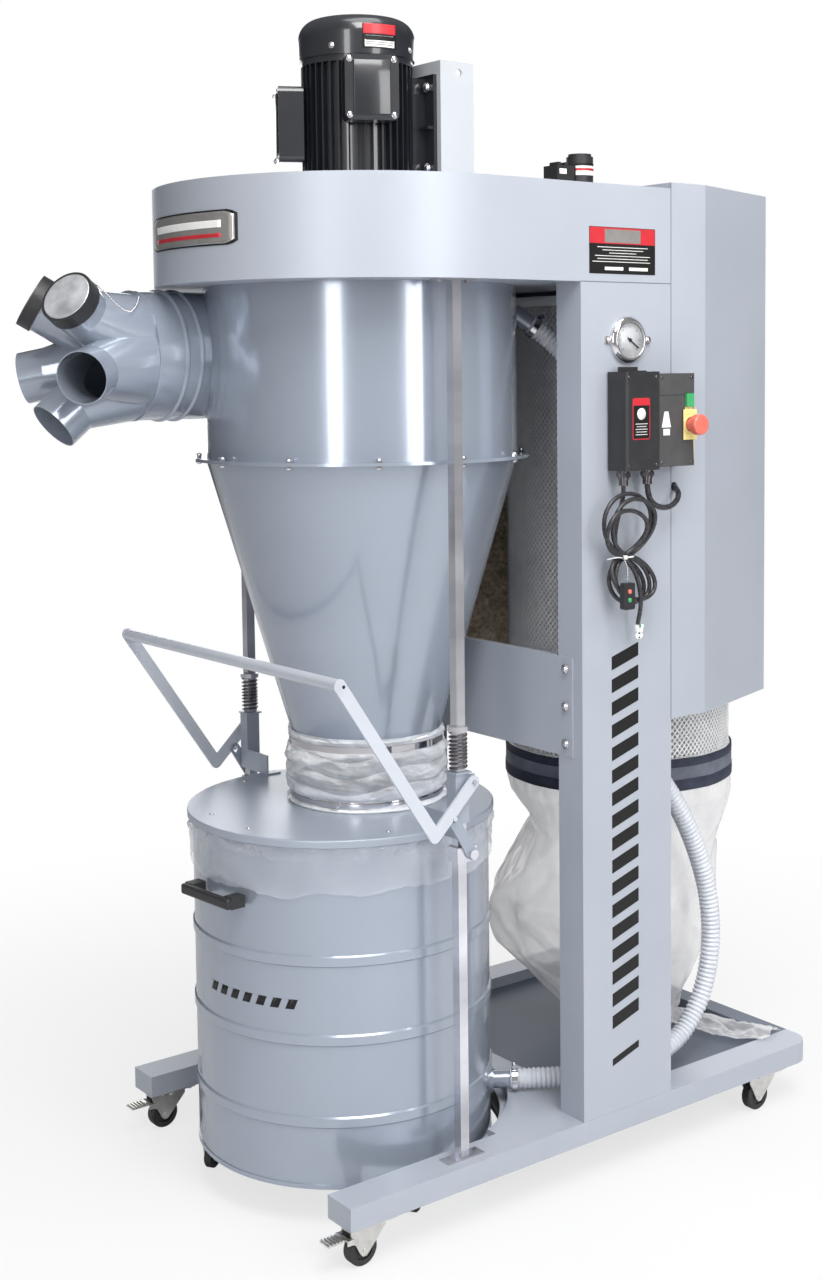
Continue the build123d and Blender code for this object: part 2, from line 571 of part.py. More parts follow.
def lid():
    """The pressed lid with its collar, the guide sleeves that ride the rods, and the lower band."""
    plate = drum_of(LID_R, LID_BOTTOM, LID_TOP, DRUM_X)
    plate = fillet([e for e in plate.edges().filter_by(GeomType.CIRCLE) if e.center().Z > LID_TOP - 1], 3)
    plate -= drum_of(LID_R - SHEET, LID_BOTTOM - 1, LID_TOP - SHEET, DRUM_X)
    plate -= drum_of(COLLAR_R - SHEET, LID_BOTTOM - 1, LID_TOP + 1)
    plate += ring_of(COLLAR_R, COLLAR_R - SHEET, LID_TOP - SHEET, COLLAR_TOP)
    gasket_seat = ring_of(LID_R - 2, LID_R - 22, LID_BOTTOM, LID_BOTTOM + 6, DRUM_X)
    plate += gasket_seat + ring_of(LID_R - 2, LID_R - 4, LID_BOTTOM + 5, LID_TOP - 1, DRUM_X)
    guides = []
    for side in (-1, 1):
        guide = block(ROD_X - 13.5, ROD_X + 13.5, side * (ROD_Y - 13.5), side * (ROD_Y + 13.5), 762, SEAT_Z)
        guide += block(ROD_X - 18, ROD_X + 18, side * (ROD_Y - 17), side * (ROD_Y + 17), SEAT_Z - 3, SEAT_Z)
        web_x = ROD_X - 13.5
        guide += block(web_x - 3, web_x, side * 268, side * (ROD_Y + 13.5), LID_TOP, 778)
        guide += block(web_x - 3, web_x, side * (ROD_Y - 13.5), side * (ROD_Y + 13.5), 770, SEAT_Z - 3)
        guide += block(web_x - 3, web_x + 30, side * 268, side * 290, LID_TOP, LID_TOP + 3)
        guide += block(web_x, PIVOT_C[0] + 11, side * (ROD_Y + 9.5), side * (ROD_Y + 13.5),
                       PIVOT_C[1] - 12, PIVOT_C[1] + 12)
        clear = ROD_SIDE / 2 + 0.4
        guide -= block(ROD_X - clear, ROD_X + clear, side * (ROD_Y - clear), side * (ROD_Y + clear), 700, 900)
        pin_y = side * (ROD_Y + 13)
        guide += across(PIVOT_C[0], PIVOT_C[1], 4, pin_y, side * (ROD_Y + 30))
        guides.append(guide)
    return [plate] + guides


def lift_rods():
    """The two square guide rods with their feet, heads, fixed top collars and pivot clamps."""
    half = ROD_SIDE / 2
    rods = []
    for side in (-1, 1):
        y = side * ROD_Y
        rod = block(ROD_X - half, ROD_X + half, y - half, y + half, RAIL_TOP, HOUSING_BOTTOM)
        rod += block(ROD_X - 42, ROD_X + 42, y - 14, y + 14, RAIL_TOP, RAIL_TOP + 3)
        rod += block(ROD_X - 42, ROD_X + 42, y - 14, y + 14, HOUSING_BOTTOM - 3, HOUSING_BOTTOM)
        rod += drum_of(19, TOP_COLLAR_Z, TOP_COLLAR_Z + 9, ROD_X, y)
        rod += block(ROD_X - 15, PIVOT_A[0] + 13, y - 15, y + 15, 690, 718)
        rod += across(PIVOT_A[0], PIVOT_A[1], 4, side * (ROD_Y + 14), side * (ROD_Y + 26))
        rod += across(PIVOT_A[0], PIVOT_A[1], 9, side * (ROD_Y + 21.5), side * (ROD_Y + 26))
        rods.append(rod)
    return rods


def lift_springs():
    """The coil springs that press the lid down, as closed sleeves of the coils' outer shape."""
    springs = []
    for side in (-1, 1):
        springs.append(ring_of(15.5, 13.7, SEAT_Z + 0.3, TOP_COLLAR_Z - 0.3, ROD_X, side * ROD_Y))
    return springs


def lift_handle():
    """The bail: a round bar carried by two bent flat arms."""
    outer, inner = ROD_Y + 25.5, ROD_Y + 21.0
    bail = across(BAIL[0], BAIL[1], 11, -outer, outer) - across(BAIL[0], BAIL[1], 8.5, -inner, inner)
    for side in (-1, 1):
        y0, y1 = side * inner, side * outer
        bail += flat_link(BAIL, ELBOW, 24, y0, y1)
        bail += flat_link(ELBOW, PIVOT_C, 24, y0, y1)
        bail += across(PIVOT_B[0], PIVOT_B[1], 4, side * (ROD_Y + 15.4), side * (outer + 3))
        bail -= across(PIVOT_C[0], PIVOT_C[1], 4.3, y0 - side, y1 + side)
    return bail


def lift_links():
    """The two links between the rod clamps and the bail, slotted at the upper pin."""
    links = []
    for side in (-1, 1):
        y0, y1 = side * (ROD_Y + 15.6), side * (ROD_Y + 20.4)
        link = flat_link(PIVOT_A, PIVOT_B, 22, y0, y1)
        link -= across(PIVOT_A[0], PIVOT_A[1], 4.3, y0 - side, y1 + side)
        run = (Vector(PIVOT_B[0], 0, PIVOT_B[1]) - Vector(PIVOT_A[0], 0, PIVOT_A[1])).normalized()
        low = (PIVOT_B[0] - 4 * run.X, PIVOT_B[1] - 4 * run.Z)
        high = (PIVOT_B[0] + 4 * run.X, PIVOT_B[1] + 4 * run.Z)
        link -= flat_link(low, high, 11.0, y0 - side, y1 + side)
        links.append(link)
    return links


def flexible_sleeve():
    """The clear sleeve between the cone's spout and the lid's collar."""
    return ring_of(SPOUT_R + 3, SPOUT_R + 0.6, LID_TOP + 6, CONE_BOTTOM - 1)


def band_clamps():
    """Worm-drive bands at the sleeve's upper end and at both hose ends."""
    bands = [ring_of(SPOUT_R + 4.6, SPOUT_R + 3.2, 852, 864)]
    for end, beyond in ((HOSE_ROUTE[0], HOSE_ROUTE[1]), (HOSE_ROUTE[-1], HOSE_ROUTE[-2])):
        origin = Vector(*end)
        run = (Vector(*beyond) - origin).normalized()
        band = tube_between(origin + run * 4, origin + run * 15, HOSE_D / 2 + 1.7, HOSE_D / 2 + 0.4)
        sideways = run.cross(Vector(0, 0, 1)).normalized()
        screw = origin + run * 9.5 + sideways.cross(run) * (HOSE_D / 2 + 5.5)
        bands.append(band + bar_between(screw - sideways * 8, screw + sideways * 8, 4.5))
    return bands


# ---- controls -----------------------------------------------------------------------------------
def vacuum_gauge():
    """A flush dial gauge with its flange and two screws."""
    x, z = GAUGE
    face = -POST_FACE
    gauge = across(x, z, 44, face - 5, face) + across(x, z, 38, face - 11, face - 5)
    gauge -= across(x, z, 34, face - 12, face - 7)
    gauge += across(x, z, 2, face - 9, face - 7)
    for dx in (-50, 50):
        gauge += block(x + dx - 8, x + dx + 8, face - 3, face, z - 7, z + 7) \
            + across(x + dx, z, 4, face - 6, face - 3)
    gauge += block(x - 52, x + 52, face - 2, face, z - 5, z + 5)
    return gauge


def gauge_needle():
    """The pointer, on the dial's centre."""
    x, z = GAUGE
    y = -POST_FACE - 9.4
    needle = Pos(x, y, z) * Rot(0, 35, 0) * (Pos(9, 0, 0) * Box(34, 0.6, 2.2))
    needle += across(x, z, 3.5, y - 0.6, y + 0.3)
    return needle


def switch_box():
    """The control box, its switch cover, the hanger clip and the two cable glands."""
    back = -POST_FACE
    body = block(BOX_LEFT, BOX_SPLIT, BOX_FACE, back, BOX_BOTTOM, BOX_TOP)
    body = fillet(body.edges().filter_by(Axis.Z).sort_by(Axis.X)[:2], 6)
    cover = block(BOX_SPLIT, BOX_RIGHT, BOX_FACE + 2, back, BOX_BOTTOM + 4, BOX_TOP - 4)
    cover -= block(BOX_SPLIT, BOX_RIGHT + 1, BOX_FACE + 1, BOX_FACE + 3, 1526, 1527.5)
    cover -= across(452, 1470, 12, BOX_FACE - 1, BOX_FACE + 22)
    cover -= block(442, 462, BOX_FACE - 1, BOX_FACE + 14, 1504, 1530)
    clip = block(300, 350, -436, -410, BOX_TOP, BOX_TOP + 2) + block(300, 350, -412, -410, BOX_TOP, BOX_TOP + 9)
    glands = []
    for x in (300, 362):
        gland = drum_of(11, BOX_BOTTOM - 16, BOX_BOTTOM, x, -425)
        gland += extrude(Pos(x, -425, BOX_BOTTOM - 12) * RegularPolygon(14, 6), 8)
        gland += drum_of(9, BOX_BOTTOM - 28, BOX_BOTTOM - 16, x, -425)
        glands.append(gland)
    plate = block(434, 470, BOX_FACE - 1, BOX_FACE + 2, 1441, 1499)
    plate -= across(452, 1470, 12, BOX_FACE - 2, BOX_FACE + 3)
    return [body, cover, clip, plate] + glands


def estop_button():
    """The mushroom stop button."""
    x, z = 452.0, 1470.0
    head = across(x, z, 20, BOX_FACE - 33, BOX_FACE - 18)
    head = fillet([e for e in head.edges().filter_by(GeomType.CIRCLE) if e.center().Y < BOX_FACE - 32], 4)
    return head + across(x, z, 11.5, BOX_FACE - 18, BOX_FACE + 12)


def start_button():
    """The flat start key above the stop."""
    return block(442.4, 461.6, BOX_FACE - 2.5, BOX_FACE + 9, 1504.4, 1529.6)


def power_cord():
    """The outer shape of the hanked supply cord."""
    y0, thick = -441.0, 34.0
    plane = Plane(origin=(0, y0, 0), x_dir=(1, 0, 0), z_dir=(0, 1, 0))
    top = extrude(plane * Pos(305, -1280) * Ellipse(63, 64), thick)
    bottom = extrude(plane * Pos(344, -1166) * Ellipse(34, 67), thick)
    stem = drum_of(CORD_D / 2, 1330, BOX_BOTTOM - 28, 300, -425)
    tail = drum_of(CORD_D / 2, 1092, 1120, 340, -425)
    return top + bottom + stem + tail


def cord_ends():
    """The ring terminals on the cord's bare end, and the remote control tied to the hank."""
    remote = block(273, 301, -455, -443, 1128, 1178)
    lugs = [fillet(remote.edges().filter_by(Axis.Y), 4)]
    for x, tilt in ((334.5, -12), (345.5, 14)):
        lug = Box(6, 5, 14) + Pos(0, 0, -14) * Rot(90, 0, 0) * Cylinder(6.5, 2)
        lug -= Pos(0, 0, -14) * Rot(90, 0, 0) * Cylinder(2.8, 4)
        lugs.append(Pos(x, -425, 1084.5) * Rot(0, tilt, 0) * lug)
    return lugs


# ---- assembly -----------------------------------------------------------------------------------
def build_base():
    save("near_rail", base_rail(-1))
    save("far_rail", base_rail(1))
    save("platform", platform())
    save("near_post", post(-1))
    save("far_post", post(1))
    save("brace_panel", brace_panel())
    save("frame_bolts", *frame_bolts())
    save("caster_plates", *caster_plates())
    for name, (x, y) in BASE_CASTERS.items():
        braked = name.startswith("front")
        save("fork_" + name, caster_fork(x, y, RAIL_BOTTOM - 9.4, WHEEL_R, WHEEL_W, TRAIL, 180, braked))
        save("wheel_" + name, caster_wheel(x, y, WHEEL_R, WHEEL_W, TRAIL, 180))
        if braked:
            save("pedal_" + name, brake_pedal(x, y, 180))


def build_cyclone():
    save("blower_housing", *blower_housing())
    save("cyclone_barrel", cyclone_barrel())
    save("cyclone_cone", cyclone_cone())
    save("port_manifold", *port_manifold())
    frames = port_frames()
    save("port_cap_near", port_cap(*frames[1][:2]))
    save("port_cap_far", port_cap(*frames[2][:2]))
    save("motor_body", motor_body())
    save("motor_covers", *motor_covers())
    save("motor_bracket", motor_bracket())
    save("impeller", impeller())


def build_filter():
    save("filter_enclosure", filter_enclosure())
    save("acoustic_foam", acoustic_foam())
    save("filter_pleats", filter_pleats())
    save("filter_cage", filter_cage())
    save("dust_bag", dust_bag())
    save("filter_agitator", filter_agitator())
    save("agitator_drive", *agitator_drive())


def build_drum():
    save("drum_shell", drum_shell())
    save("drum_liner", drum_liner())
    save("drum_handles", *drum_handles())
    for k, angle in enumerate(DRUM_CASTER_ANGLES, 1):
        x, y = polar(DRUM_CASTER_RADIUS, angle, DRUM_X)
        save(f"drum_fork_{k}", caster_fork(x, y, DRUM_BOTTOM - 0.4, SMALL_WHEEL_R, SMALL_WHEEL_W,
                                           SMALL_TRAIL, DRUM_CASTER_HEADING))
        save(f"drum_wheel_{k}", caster_wheel(x, y, SMALL_WHEEL_R, SMALL_WHEEL_W, SMALL_TRAIL,
                                             DRUM_CASTER_HEADING))
    save("lid", *lid())
    save("lift_rods", *lift_rods())
    save("lift_springs", *lift_springs())
    save("lift_handle", lift_handle())
    save("lift_links", *lift_links())
    save("flexible_sleeve", flexible_sleeve())
    save("band_clamps", *band_clamps())


def build_controls():
    save("vacuum_gauge", vacuum_gauge())
    save("gauge_needle", gauge_needle())
    save("switch_box", *switch_box())
    save("estop_button", estop_button())
    save("start_button", start_button())
    save("power_cord", power_cord())
    save("cord_ends", *cord_ends())
    save("motor_lead", cord_tube("motor_lead", LEAD_ROUTE, LEAD_D))
    save("vacuum_hose", cord_tube("vacuum_hose", HOSE_ROUTE, HOSE_D))


if __name__ == "__main__":
    build_base()
    build_cyclone()
    build_filter()
    build_drum()
    build_controls()
    os.makedirs("parts", exist_ok=True)
    for name, shape in parts.items():
        export_step(shape, f"parts/{name}.step")
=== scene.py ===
import math
import bpy
import bmesh
from mathutils import Matrix, Vector, noise


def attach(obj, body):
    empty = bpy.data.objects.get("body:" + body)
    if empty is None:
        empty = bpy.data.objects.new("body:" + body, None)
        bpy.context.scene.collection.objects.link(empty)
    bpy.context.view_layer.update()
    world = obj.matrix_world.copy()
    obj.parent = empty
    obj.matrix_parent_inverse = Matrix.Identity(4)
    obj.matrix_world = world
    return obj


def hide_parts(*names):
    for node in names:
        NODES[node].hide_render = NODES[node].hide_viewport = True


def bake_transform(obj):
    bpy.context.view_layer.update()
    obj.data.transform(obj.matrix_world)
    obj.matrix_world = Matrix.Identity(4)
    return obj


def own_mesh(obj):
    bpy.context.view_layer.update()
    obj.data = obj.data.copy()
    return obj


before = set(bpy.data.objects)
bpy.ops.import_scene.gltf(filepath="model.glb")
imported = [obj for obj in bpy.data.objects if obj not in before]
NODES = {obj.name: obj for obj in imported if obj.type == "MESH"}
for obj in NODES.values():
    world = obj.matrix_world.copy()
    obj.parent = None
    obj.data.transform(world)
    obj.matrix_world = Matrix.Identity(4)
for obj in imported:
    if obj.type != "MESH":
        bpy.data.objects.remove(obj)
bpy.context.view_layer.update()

# Tables below are in millimetres from the cyclone's axis on the floor, as in part.py.
ORIGIN = Vector((175.808, -42.75, 8.0))
SCENE = bpy.context.scene


def at(x, y, z):
    """A point of the tables in the row frame, in metres."""
    return (Vector((x, y, z)) - ORIGIN) / 1000


def polar(radius, angle, x=0.0, y=0.0):
    return x + radius * math.cos(angle), y + radius * math.sin(angle)


# ---- materials --------------------------------------------------------------------------------
def new_node(tree, kind, **inputs):
    """A shader node with its inputs set; an underscore in a key stands for a space."""
    made = tree.nodes.new("ShaderNode" + kind)
    for key, value in inputs.items():
        made.inputs[key.replace("_", " ")].default_value = value
    return made


def wire(tree, *links):
    """Links nodes: each row is a node, its output, a node and its input, by name or number."""
    for source, output, target, socket in links:
        tree.links.new(source.outputs[output], target.inputs[socket])


def shader(name, colour, rough, metal=0.0, coat=0.0, coat_rough=0.1, specular=0.5, shades=0.04,
           broad=4.0, grain=0.0, grain_size=600.0, rough_shades=0.0, stretch=(1, 1, 1)):
    """A principled material whose colour, roughness and bump vary in object space."""
    mat = bpy.data.materials.new(name)
    mat.use_nodes = True
    tree = mat.node_tree
    out = tree.nodes["Principled BSDF"]
    for key, value in (("Metallic", metal), ("Roughness", rough), ("Coat Weight", coat),
                       ("Coat Roughness", coat_rough), ("Specular IOR Level", specular)):
        out.inputs[key].default_value = value
    coords = new_node(tree, "TexCoord")
    place = new_node(tree, "Mapping", Scale=stretch)
    clouds = new_node(tree, "TexNoise", Scale=broad, Detail=6.0)
    ramp = new_node(tree, "ValToRGB")
    for stop, gain, where in ((0, 1 - shades, 0.3), (1, 1 + shades, 0.7)):
        ramp.color_ramp.elements[stop].position = where
        ramp.color_ramp.elements[stop].color = [min(c * gain, 1) for c in colour] + [1]
    wire(tree, (coords, "Object", place, "Vector"), (place, "Vector", clouds, "Vector"),
         (clouds, "Fac", ramp, "Fac"), (ramp, "Color", out, "Base Color"))
    if rough_shades:
        spread = new_node(tree, "MapRange", To_Min=rough - rough_shades, To_Max=rough + rough_shades)
        wire(tree, (clouds, "Fac", spread, "Value"), (spread, "Result", out, "Roughness"))
    if grain:
        fine = new_node(tree, "TexNoise", Scale=grain_size, Detail=2.0)
        bump = new_node(tree, "Bump", Strength=grain, Distance=0.0004)
        wire(tree, (place, "Vector", fine, "Vector"), (fine, "Fac", bump, "Height"),
             (bump, "Normal", out, "Normal"))
    return mat


def film(name, colour, thin, thick, rough=0.11, streak=9.0):
    """Milky polythene: clearer face on, denser at its edges and along streaks of creasing."""
    mat = shader(name, colour, rough, shades=0.06, broad=streak, grain=0.5, grain_size=60.0)
    tree = mat.node_tree
    clouds = next(n for n in tree.nodes if n.type == "TEX_NOISE")
    edge = new_node(tree, "LayerWeight", Blend=0.35)
    both = new_node(tree, "Math")
    both.operation = "MULTIPLY_ADD"
    both.inputs[1].default_value = 0.6
    dense = new_node(tree, "MapRange", From_Min=0.15, From_Max=1.1, To_Min=thin, To_Max=thick)
    wire(tree, (clouds, "Fac", both, 0), (edge, "Facing", both, 2), (both, "Value", dense, "Value"),
         (dense, "Result", tree.nodes["Principled BSDF"], "Alpha"))
    return mat


M = {
    "paint": shader("smooth_paint", (0.33, 0.37, 0.44), 0.20, metal=0.36, coat=0.7, coat_rough=0.05,
                    shades=0.035, grain=0.06, grain_size=900.0, rough_shades=0.04),
    "texture": shader("textured_paint", (0.41, 0.44, 0.495), 0.42, metal=0.18, coat=0.12,
                      coat_rough=0.3, specular=0.3, shades=0.03, grain=0.35, grain_size=520.0,
                      rough_shades=0.05),
    "satin": shader("satin_paint", (0.37, 0.41, 0.48), 0.36, metal=0.30, coat=0.25, coat_rough=0.25,
                    shades=0.04, grain=0.06, grain_size=900.0, rough_shades=0.05),
    "tube": shader("tube_paint", (0.56, 0.59, 0.65), 0.32, metal=0.20, coat=0.3, coat_rough=0.15,
                   shades=0.04, grain=0.1, grain_size=700.0),
    # Painted shade: a dark grey that stands in for the shade over the tray floor; the sheet seams also use it
    # for their dark joint lines.
    "shade_and_seams": shader("painted_tray_shade_and_seams", (0.135, 0.155, 0.195), 0.45, specular=0.12,
                    shades=0.05, grain=0.35, grain_size=520.0, rough_shades=0.05),
    "pale": shader("pale_paint", (0.50, 0.52, 0.55), 0.42, metal=0.15, coat=0.2, coat_rough=0.2,
                   shades=0.05, grain=0.25, grain_size=500.0, rough_shades=0.05),
    "zinc": shader("zinc_plate", (0.66, 0.65, 0.62), 0.32, metal=0.95, shades=0.12, broad=60.0,
                   grain=0.15, rough_shades=0.10),
    "galvanised": shader("galvanised_mesh", (0.90, 0.91, 0.94), 0.40, metal=0.05, shades=0.10, broad=40.0,
                         rough_shades=0.08),
    "steel": shader("oiled_steel", (0.13, 0.12, 0.13), 0.26, metal=0.85, shades=0.25, broad=50.0,
                    rough_shades=0.10),
    "chrome": shader("chrome_plate", (0.70, 0.68, 0.70), 0.09, metal=1.0, shades=0.12, broad=6.0,
                     rough_shades=0.04),
    # Painted reflection: strong stretched bands of lighter and darker colour stand in for the dark
    # surroundings mirrored in the chrome rods.
    "rod": shader("rod_chrome_painted_reflections", (0.64, 0.64, 0.68), 0.15, metal=0.80, shades=0.35, broad=3.0,
                  rough_shades=0.04, stretch=(0.4, 0.4, 2.2)),
    "bright": shader("bright_cap", (0.60, 0.61, 0.64), 0.32, metal=0.55, shades=0.35, broad=26.0,
                     rough_shades=0.1),
    "enamel": shader("black_enamel", (0.010, 0.011, 0.015), 0.30, coat=0.9, coat_rough=0.09,
                     shades=0.25, broad=20.0, grain=0.25, grain_size=180.0),
    "black": shader("black_moulding", (0.022, 0.022, 0.024), 0.42, shades=0.15, broad=30.0, grain=0.5,
                    grain_size=1400.0, rough_shades=0.06),
    "cover": shader("dark_grey_cover", (0.065, 0.064, 0.066), 0.40, shades=0.10, broad=30.0, grain=0.4,
                    grain_size=1400.0, rough_shades=0.05),
    "cord": shader("cord_jacket", (0.030, 0.030, 0.033), 0.28, shades=0.2, broad=90.0, grain=0.3,
                   grain_size=700.0, rough_shades=0.08),
    "tyre": shader("tyre_rubber", (0.02, 0.02, 0.021), 0.48, shades=0.3, broad=60.0, grain=0.6,
                   grain_size=800.0, rough_shades=0.1),
    "foam": shader("foam_brown", (0.46, 0.37, 0.27), 0.95, shades=0.40, broad=110.0, grain=1.0,
                   grain_size=500.0, specular=0.1),
    "paper": shader("filter_medium", (0.80, 0.80, 0.80), 0.8, shades=0.05, broad=30.0, grain=0.6,
                    grain_size=900.0, specular=0.2),
    "red": shader("red_button", (0.70, 0.15, 0.11), 0.30, coat=0.5, shades=0.08, broad=60.0, grain=0.1),
    "green": shader("green_key", (0.05, 0.36, 0.13), 0.35, coat=0.4, shades=0.08, broad=60.0, grain=0.1),
    "yellow": shader("yellow_plate", (0.83, 0.69, 0.27), 0.38, shades=0.08, broad=60.0, grain=0.1),
    "dial": shader("dial_face", (0.50, 0.51, 0.53), 0.30, coat=0.6, shades=0.10, broad=30.0, grain=0.1),
    "white": shader("white_print", (0.82, 0.82, 0.80), 0.45, shades=0.03, broad=60.0, grain=0.1),
    "nylon": shader("white_nylon", (0.82, 0.83, 0.82), 0.35, shades=0.05, broad=90.0, grain=0.2),
    "hose": shader("ribbed_vinyl", (0.62, 0.64, 0.69), 0.27, coat=0.3, shades=0.05, broad=25.0,
                   grain=0.2, grain_size=400.0, rough_shades=0.06),
    "print_black": shader("black_print", (0.010, 0.010, 0.010), 0.45, specular=0.3, shades=0.1, broad=40.0,
                          grain=0.1),
    "print_red": shader("red_print", (0.50, 0.02, 0.03), 0.38, coat=0.2, shades=0.08, broad=40.0,
                        grain=0.1),
    "print_grey": shader("grey_print", (0.26, 0.25, 0.24), 0.40, metal=0.3, shades=0.08, broad=40.0,
                         grain=0.1),
    "strap": shader("navy_strap", (0.030, 0.036, 0.062), 0.7, shades=0.25, broad=50.0, grain=1.0,
                    grain_size=900.0),
    "strap_mid": shader("strap_middle", (0.14, 0.155, 0.20), 0.55, shades=0.25, broad=20.0, grain=0.8,
                        grain_size=900.0),
    "film": film("bag_film", (0.97, 0.96, 0.975), 0.24, 0.70),
    "cuff": film("liner_film", (0.74, 0.78, 0.84), 0.14, 0.52, rough=0.10, streak=14.0),
    "sleeve": film("sleeve_film", (0.78, 0.80, 0.84), 0.36, 0.88, streak=22.0),
}


# ---- mesh building ----------------------------------------------------------------------------
class Shape:
    """Vertices and faces gathered in millimetres, then made into one piece."""

    def __init__(self):
        self.points, self.faces = [], []

    def grid(self, point, rows, columns, wrap=False):
        """A sheet of quads over point(i, j)."""
        base = len(self.points)
        self.points += [point(i, j) for i in range(rows) for j in range(columns)]
        for i in range(rows - 1):
            for j in range(columns if wrap else columns - 1):
                k = (j + 1) % columns
                self.faces.append([base + i * columns + j, base + i * columns + k,
                                   base + (i + 1) * columns + k, base + (i + 1) * columns + j])
        return self

    def lathe(self, profile, centre, axis=(0, 0, 1), sides=64):
        """Rings of (radius, height) pairs about an axis through a centre."""
        axis = Vector(axis).normalized()
        u = axis.orthogonal().normalized()
        v = axis.cross(u)

        def point(i, j):
            radius, height = profile[i]
            turn = 2 * math.pi * j / sides
            return Vector(centre) + axis * height + (u * math.cos(turn) + v * math.sin(turn)) * radius
        return self.grid(point, len(profile), sides, wrap=True)

    def sweep(self, line, radius, sides=10):
        """A round tube along points; radius is a number or a function of the point's index."""
        size = radius if callable(radius) else (lambda i: radius)
        tangents = [(line[min(i + 1, len(line) - 1)] - line[max(i - 1, 0)]).normalized()
                    for i in range(len(line))]
        up = tangents[0].orthogonal().normalized()
        frames = []
        for t in tangents:
            up = (up - t * up.dot(t)).normalized()
            frames.append((up, t.cross(up)))

        def point(i, j):
            turn = 2 * math.pi * j / sides
            u, v = frames[i]
            return line[i] + (u * math.cos(turn) + v * math.sin(turn)) * size(i)
        base = len(self.points)
        self.grid(point, len(line), sides, wrap=True)
        self.faces.append(list(range(base + sides - 1, base - 1, -1)))
        last = base + (len(line) - 1) * sides
        self.faces.append(list(range(last, last + sides)))
        return self

    def box(self, low, high, turn=None):
        """A block between two corners, turned by a matrix about its centre."""
        centre = (Vector(low) + Vector(high)) / 2
        half = (Vector(high) - Vector(low)) / 2
        base = len(self.points)
        for x in (-1, 1):
            for y in (-1, 1):
                for z in (-1, 1):
                    corner = Vector((x * half.x, y * half.y, z * half.z))
                    self.points.append(centre + (turn @ corner if turn else corner))
        for face in ((0, 1, 3, 2), (4, 6, 7, 5), (0, 4, 5, 1), (2, 3, 7, 6), (0, 2, 6, 4), (1, 5, 7, 3)):
            self.faces.append([base + k for k in face])
        return self

    def outline(self, ring, thickness):
        """A flat plate: a closed outline and the vector that gives its thickness."""
        base, n = len(self.points), len(ring)
        self.points += [Vector(p) for p in ring] + [Vector(p) + Vector(thickness) for p in ring]
        self.faces.append([base + k for k in range(n)])
        self.faces.append([base + n + k for k in reversed(range(n))])
        for k in range(n):
            m = (k + 1) % n
            self.faces.append([base + k, base + n + k, base + n + m, base + m])
        return self

    def make(self, name, mat, body="frame", slot=None, bevel=0.0, smooth=True, flip=True):
        """The finished piece, riding on a body if one is named; its slot argument is not used."""
        mesh = bpy.data.meshes.new(name)
        mesh.from_pydata([at(*p) for p in self.points], [], self.faces)
        work = bmesh.new()
        work.from_mesh(mesh)
        bmesh.ops.remove_doubles(work, verts=work.verts, dist=1e-6)
        if flip:
            bmesh.ops.recalc_face_normals(work, faces=work.faces)
        work.to_mesh(mesh)
        work.free()
        piece = bpy.data.objects.new(name, mesh)
        SCENE.collection.objects.link(piece)
        piece.data.materials.append(M[mat])
        for face in mesh.polygons:
            face.use_smooth = smooth
        if bevel:
            edge = piece.modifiers.new("edges", "BEVEL")
            edge.width, edge.segments, edge.limit_method = bevel / 1000, 2, "ANGLE"
        if body:
            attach(piece, body)
        return piece


def spline(name, route, resolution=12):
    """A smooth curve with the route's points as control points."""
    curve = bpy.data.curves.new(name, "CURVE")
    curve.dimensions = "3D"
    line = curve.splines.new("NURBS")
    line.points.add(len(route) - 1)
    for point, place in zip(line.points, route):
        point.co = (*at(*place), 1)
    line.order_u = 3
    line.use_endpoint_u = True
    line.resolution_u = resolution
    curve.resolution_u = resolution
    piece = bpy.data.objects.new(name, curve)
    SCENE.collection.objects.link(piece)
    return piece


def spline_points(piece):
    """The points that the curve's own line passes through, in metres."""
    bpy.context.view_layer.update()
    mesh = bpy.data.meshes.new_from_object(piece)
    points = [v.co.copy() for v in mesh.vertices]
    bpy.data.meshes.remove(mesh)
    return points


def evenly(points, step):
    """The same line at even steps along its length."""
    out, left = [points[0].copy()], step
    for a, b in zip(points, points[1:]):
        run = (b - a).length
        while run >= left and run > 0:
            a = a + (b - a) * (left / run)
            run = (b - a).length
            out.append(a.copy())
            left = step
        left -= run
    out.append(points[-1].copy())
    return out


# ---- camera -----------------------------------------------------------------------------------
def camera():
    """The view solved from the photograph."""
    azimuth, elevation, roll = (math.radians(v) for v in (-37.91, 4.62, -0.58))
    back = Vector((math.sin(azimuth) * math.cos(elevation), -math.cos(azimuth) * math.cos(elevation),
                   math.sin(elevation)))
    right = Vector((0, 0, 1)).cross(back).normalized()
    up = back.cross(right)
    side = right * math.cos(roll) + up * math.sin(roll)
    over = up * math.cos(roll) - right * math.sin(roll)
    data = bpy.data.cameras.new("camera")
    data.sensor_fit, data.sensor_width, data.lens = "AUTO", 36.0, 48.69
    data.shift_x, data.shift_y = -0.0335, -0.1037
    data.clip_start, data.clip_end = 0.05, 60.0
    eye = bpy.data.objects.new("camera", data)
    eye.matrix_world = Matrix.Translation(at(-1946.2, -2789.9, 1583.5)) @ \
        Matrix((side, over, back)).transposed().to_4x4()
    SCENE.collection.objects.link(eye)
    SCENE.camera = eye


camera()

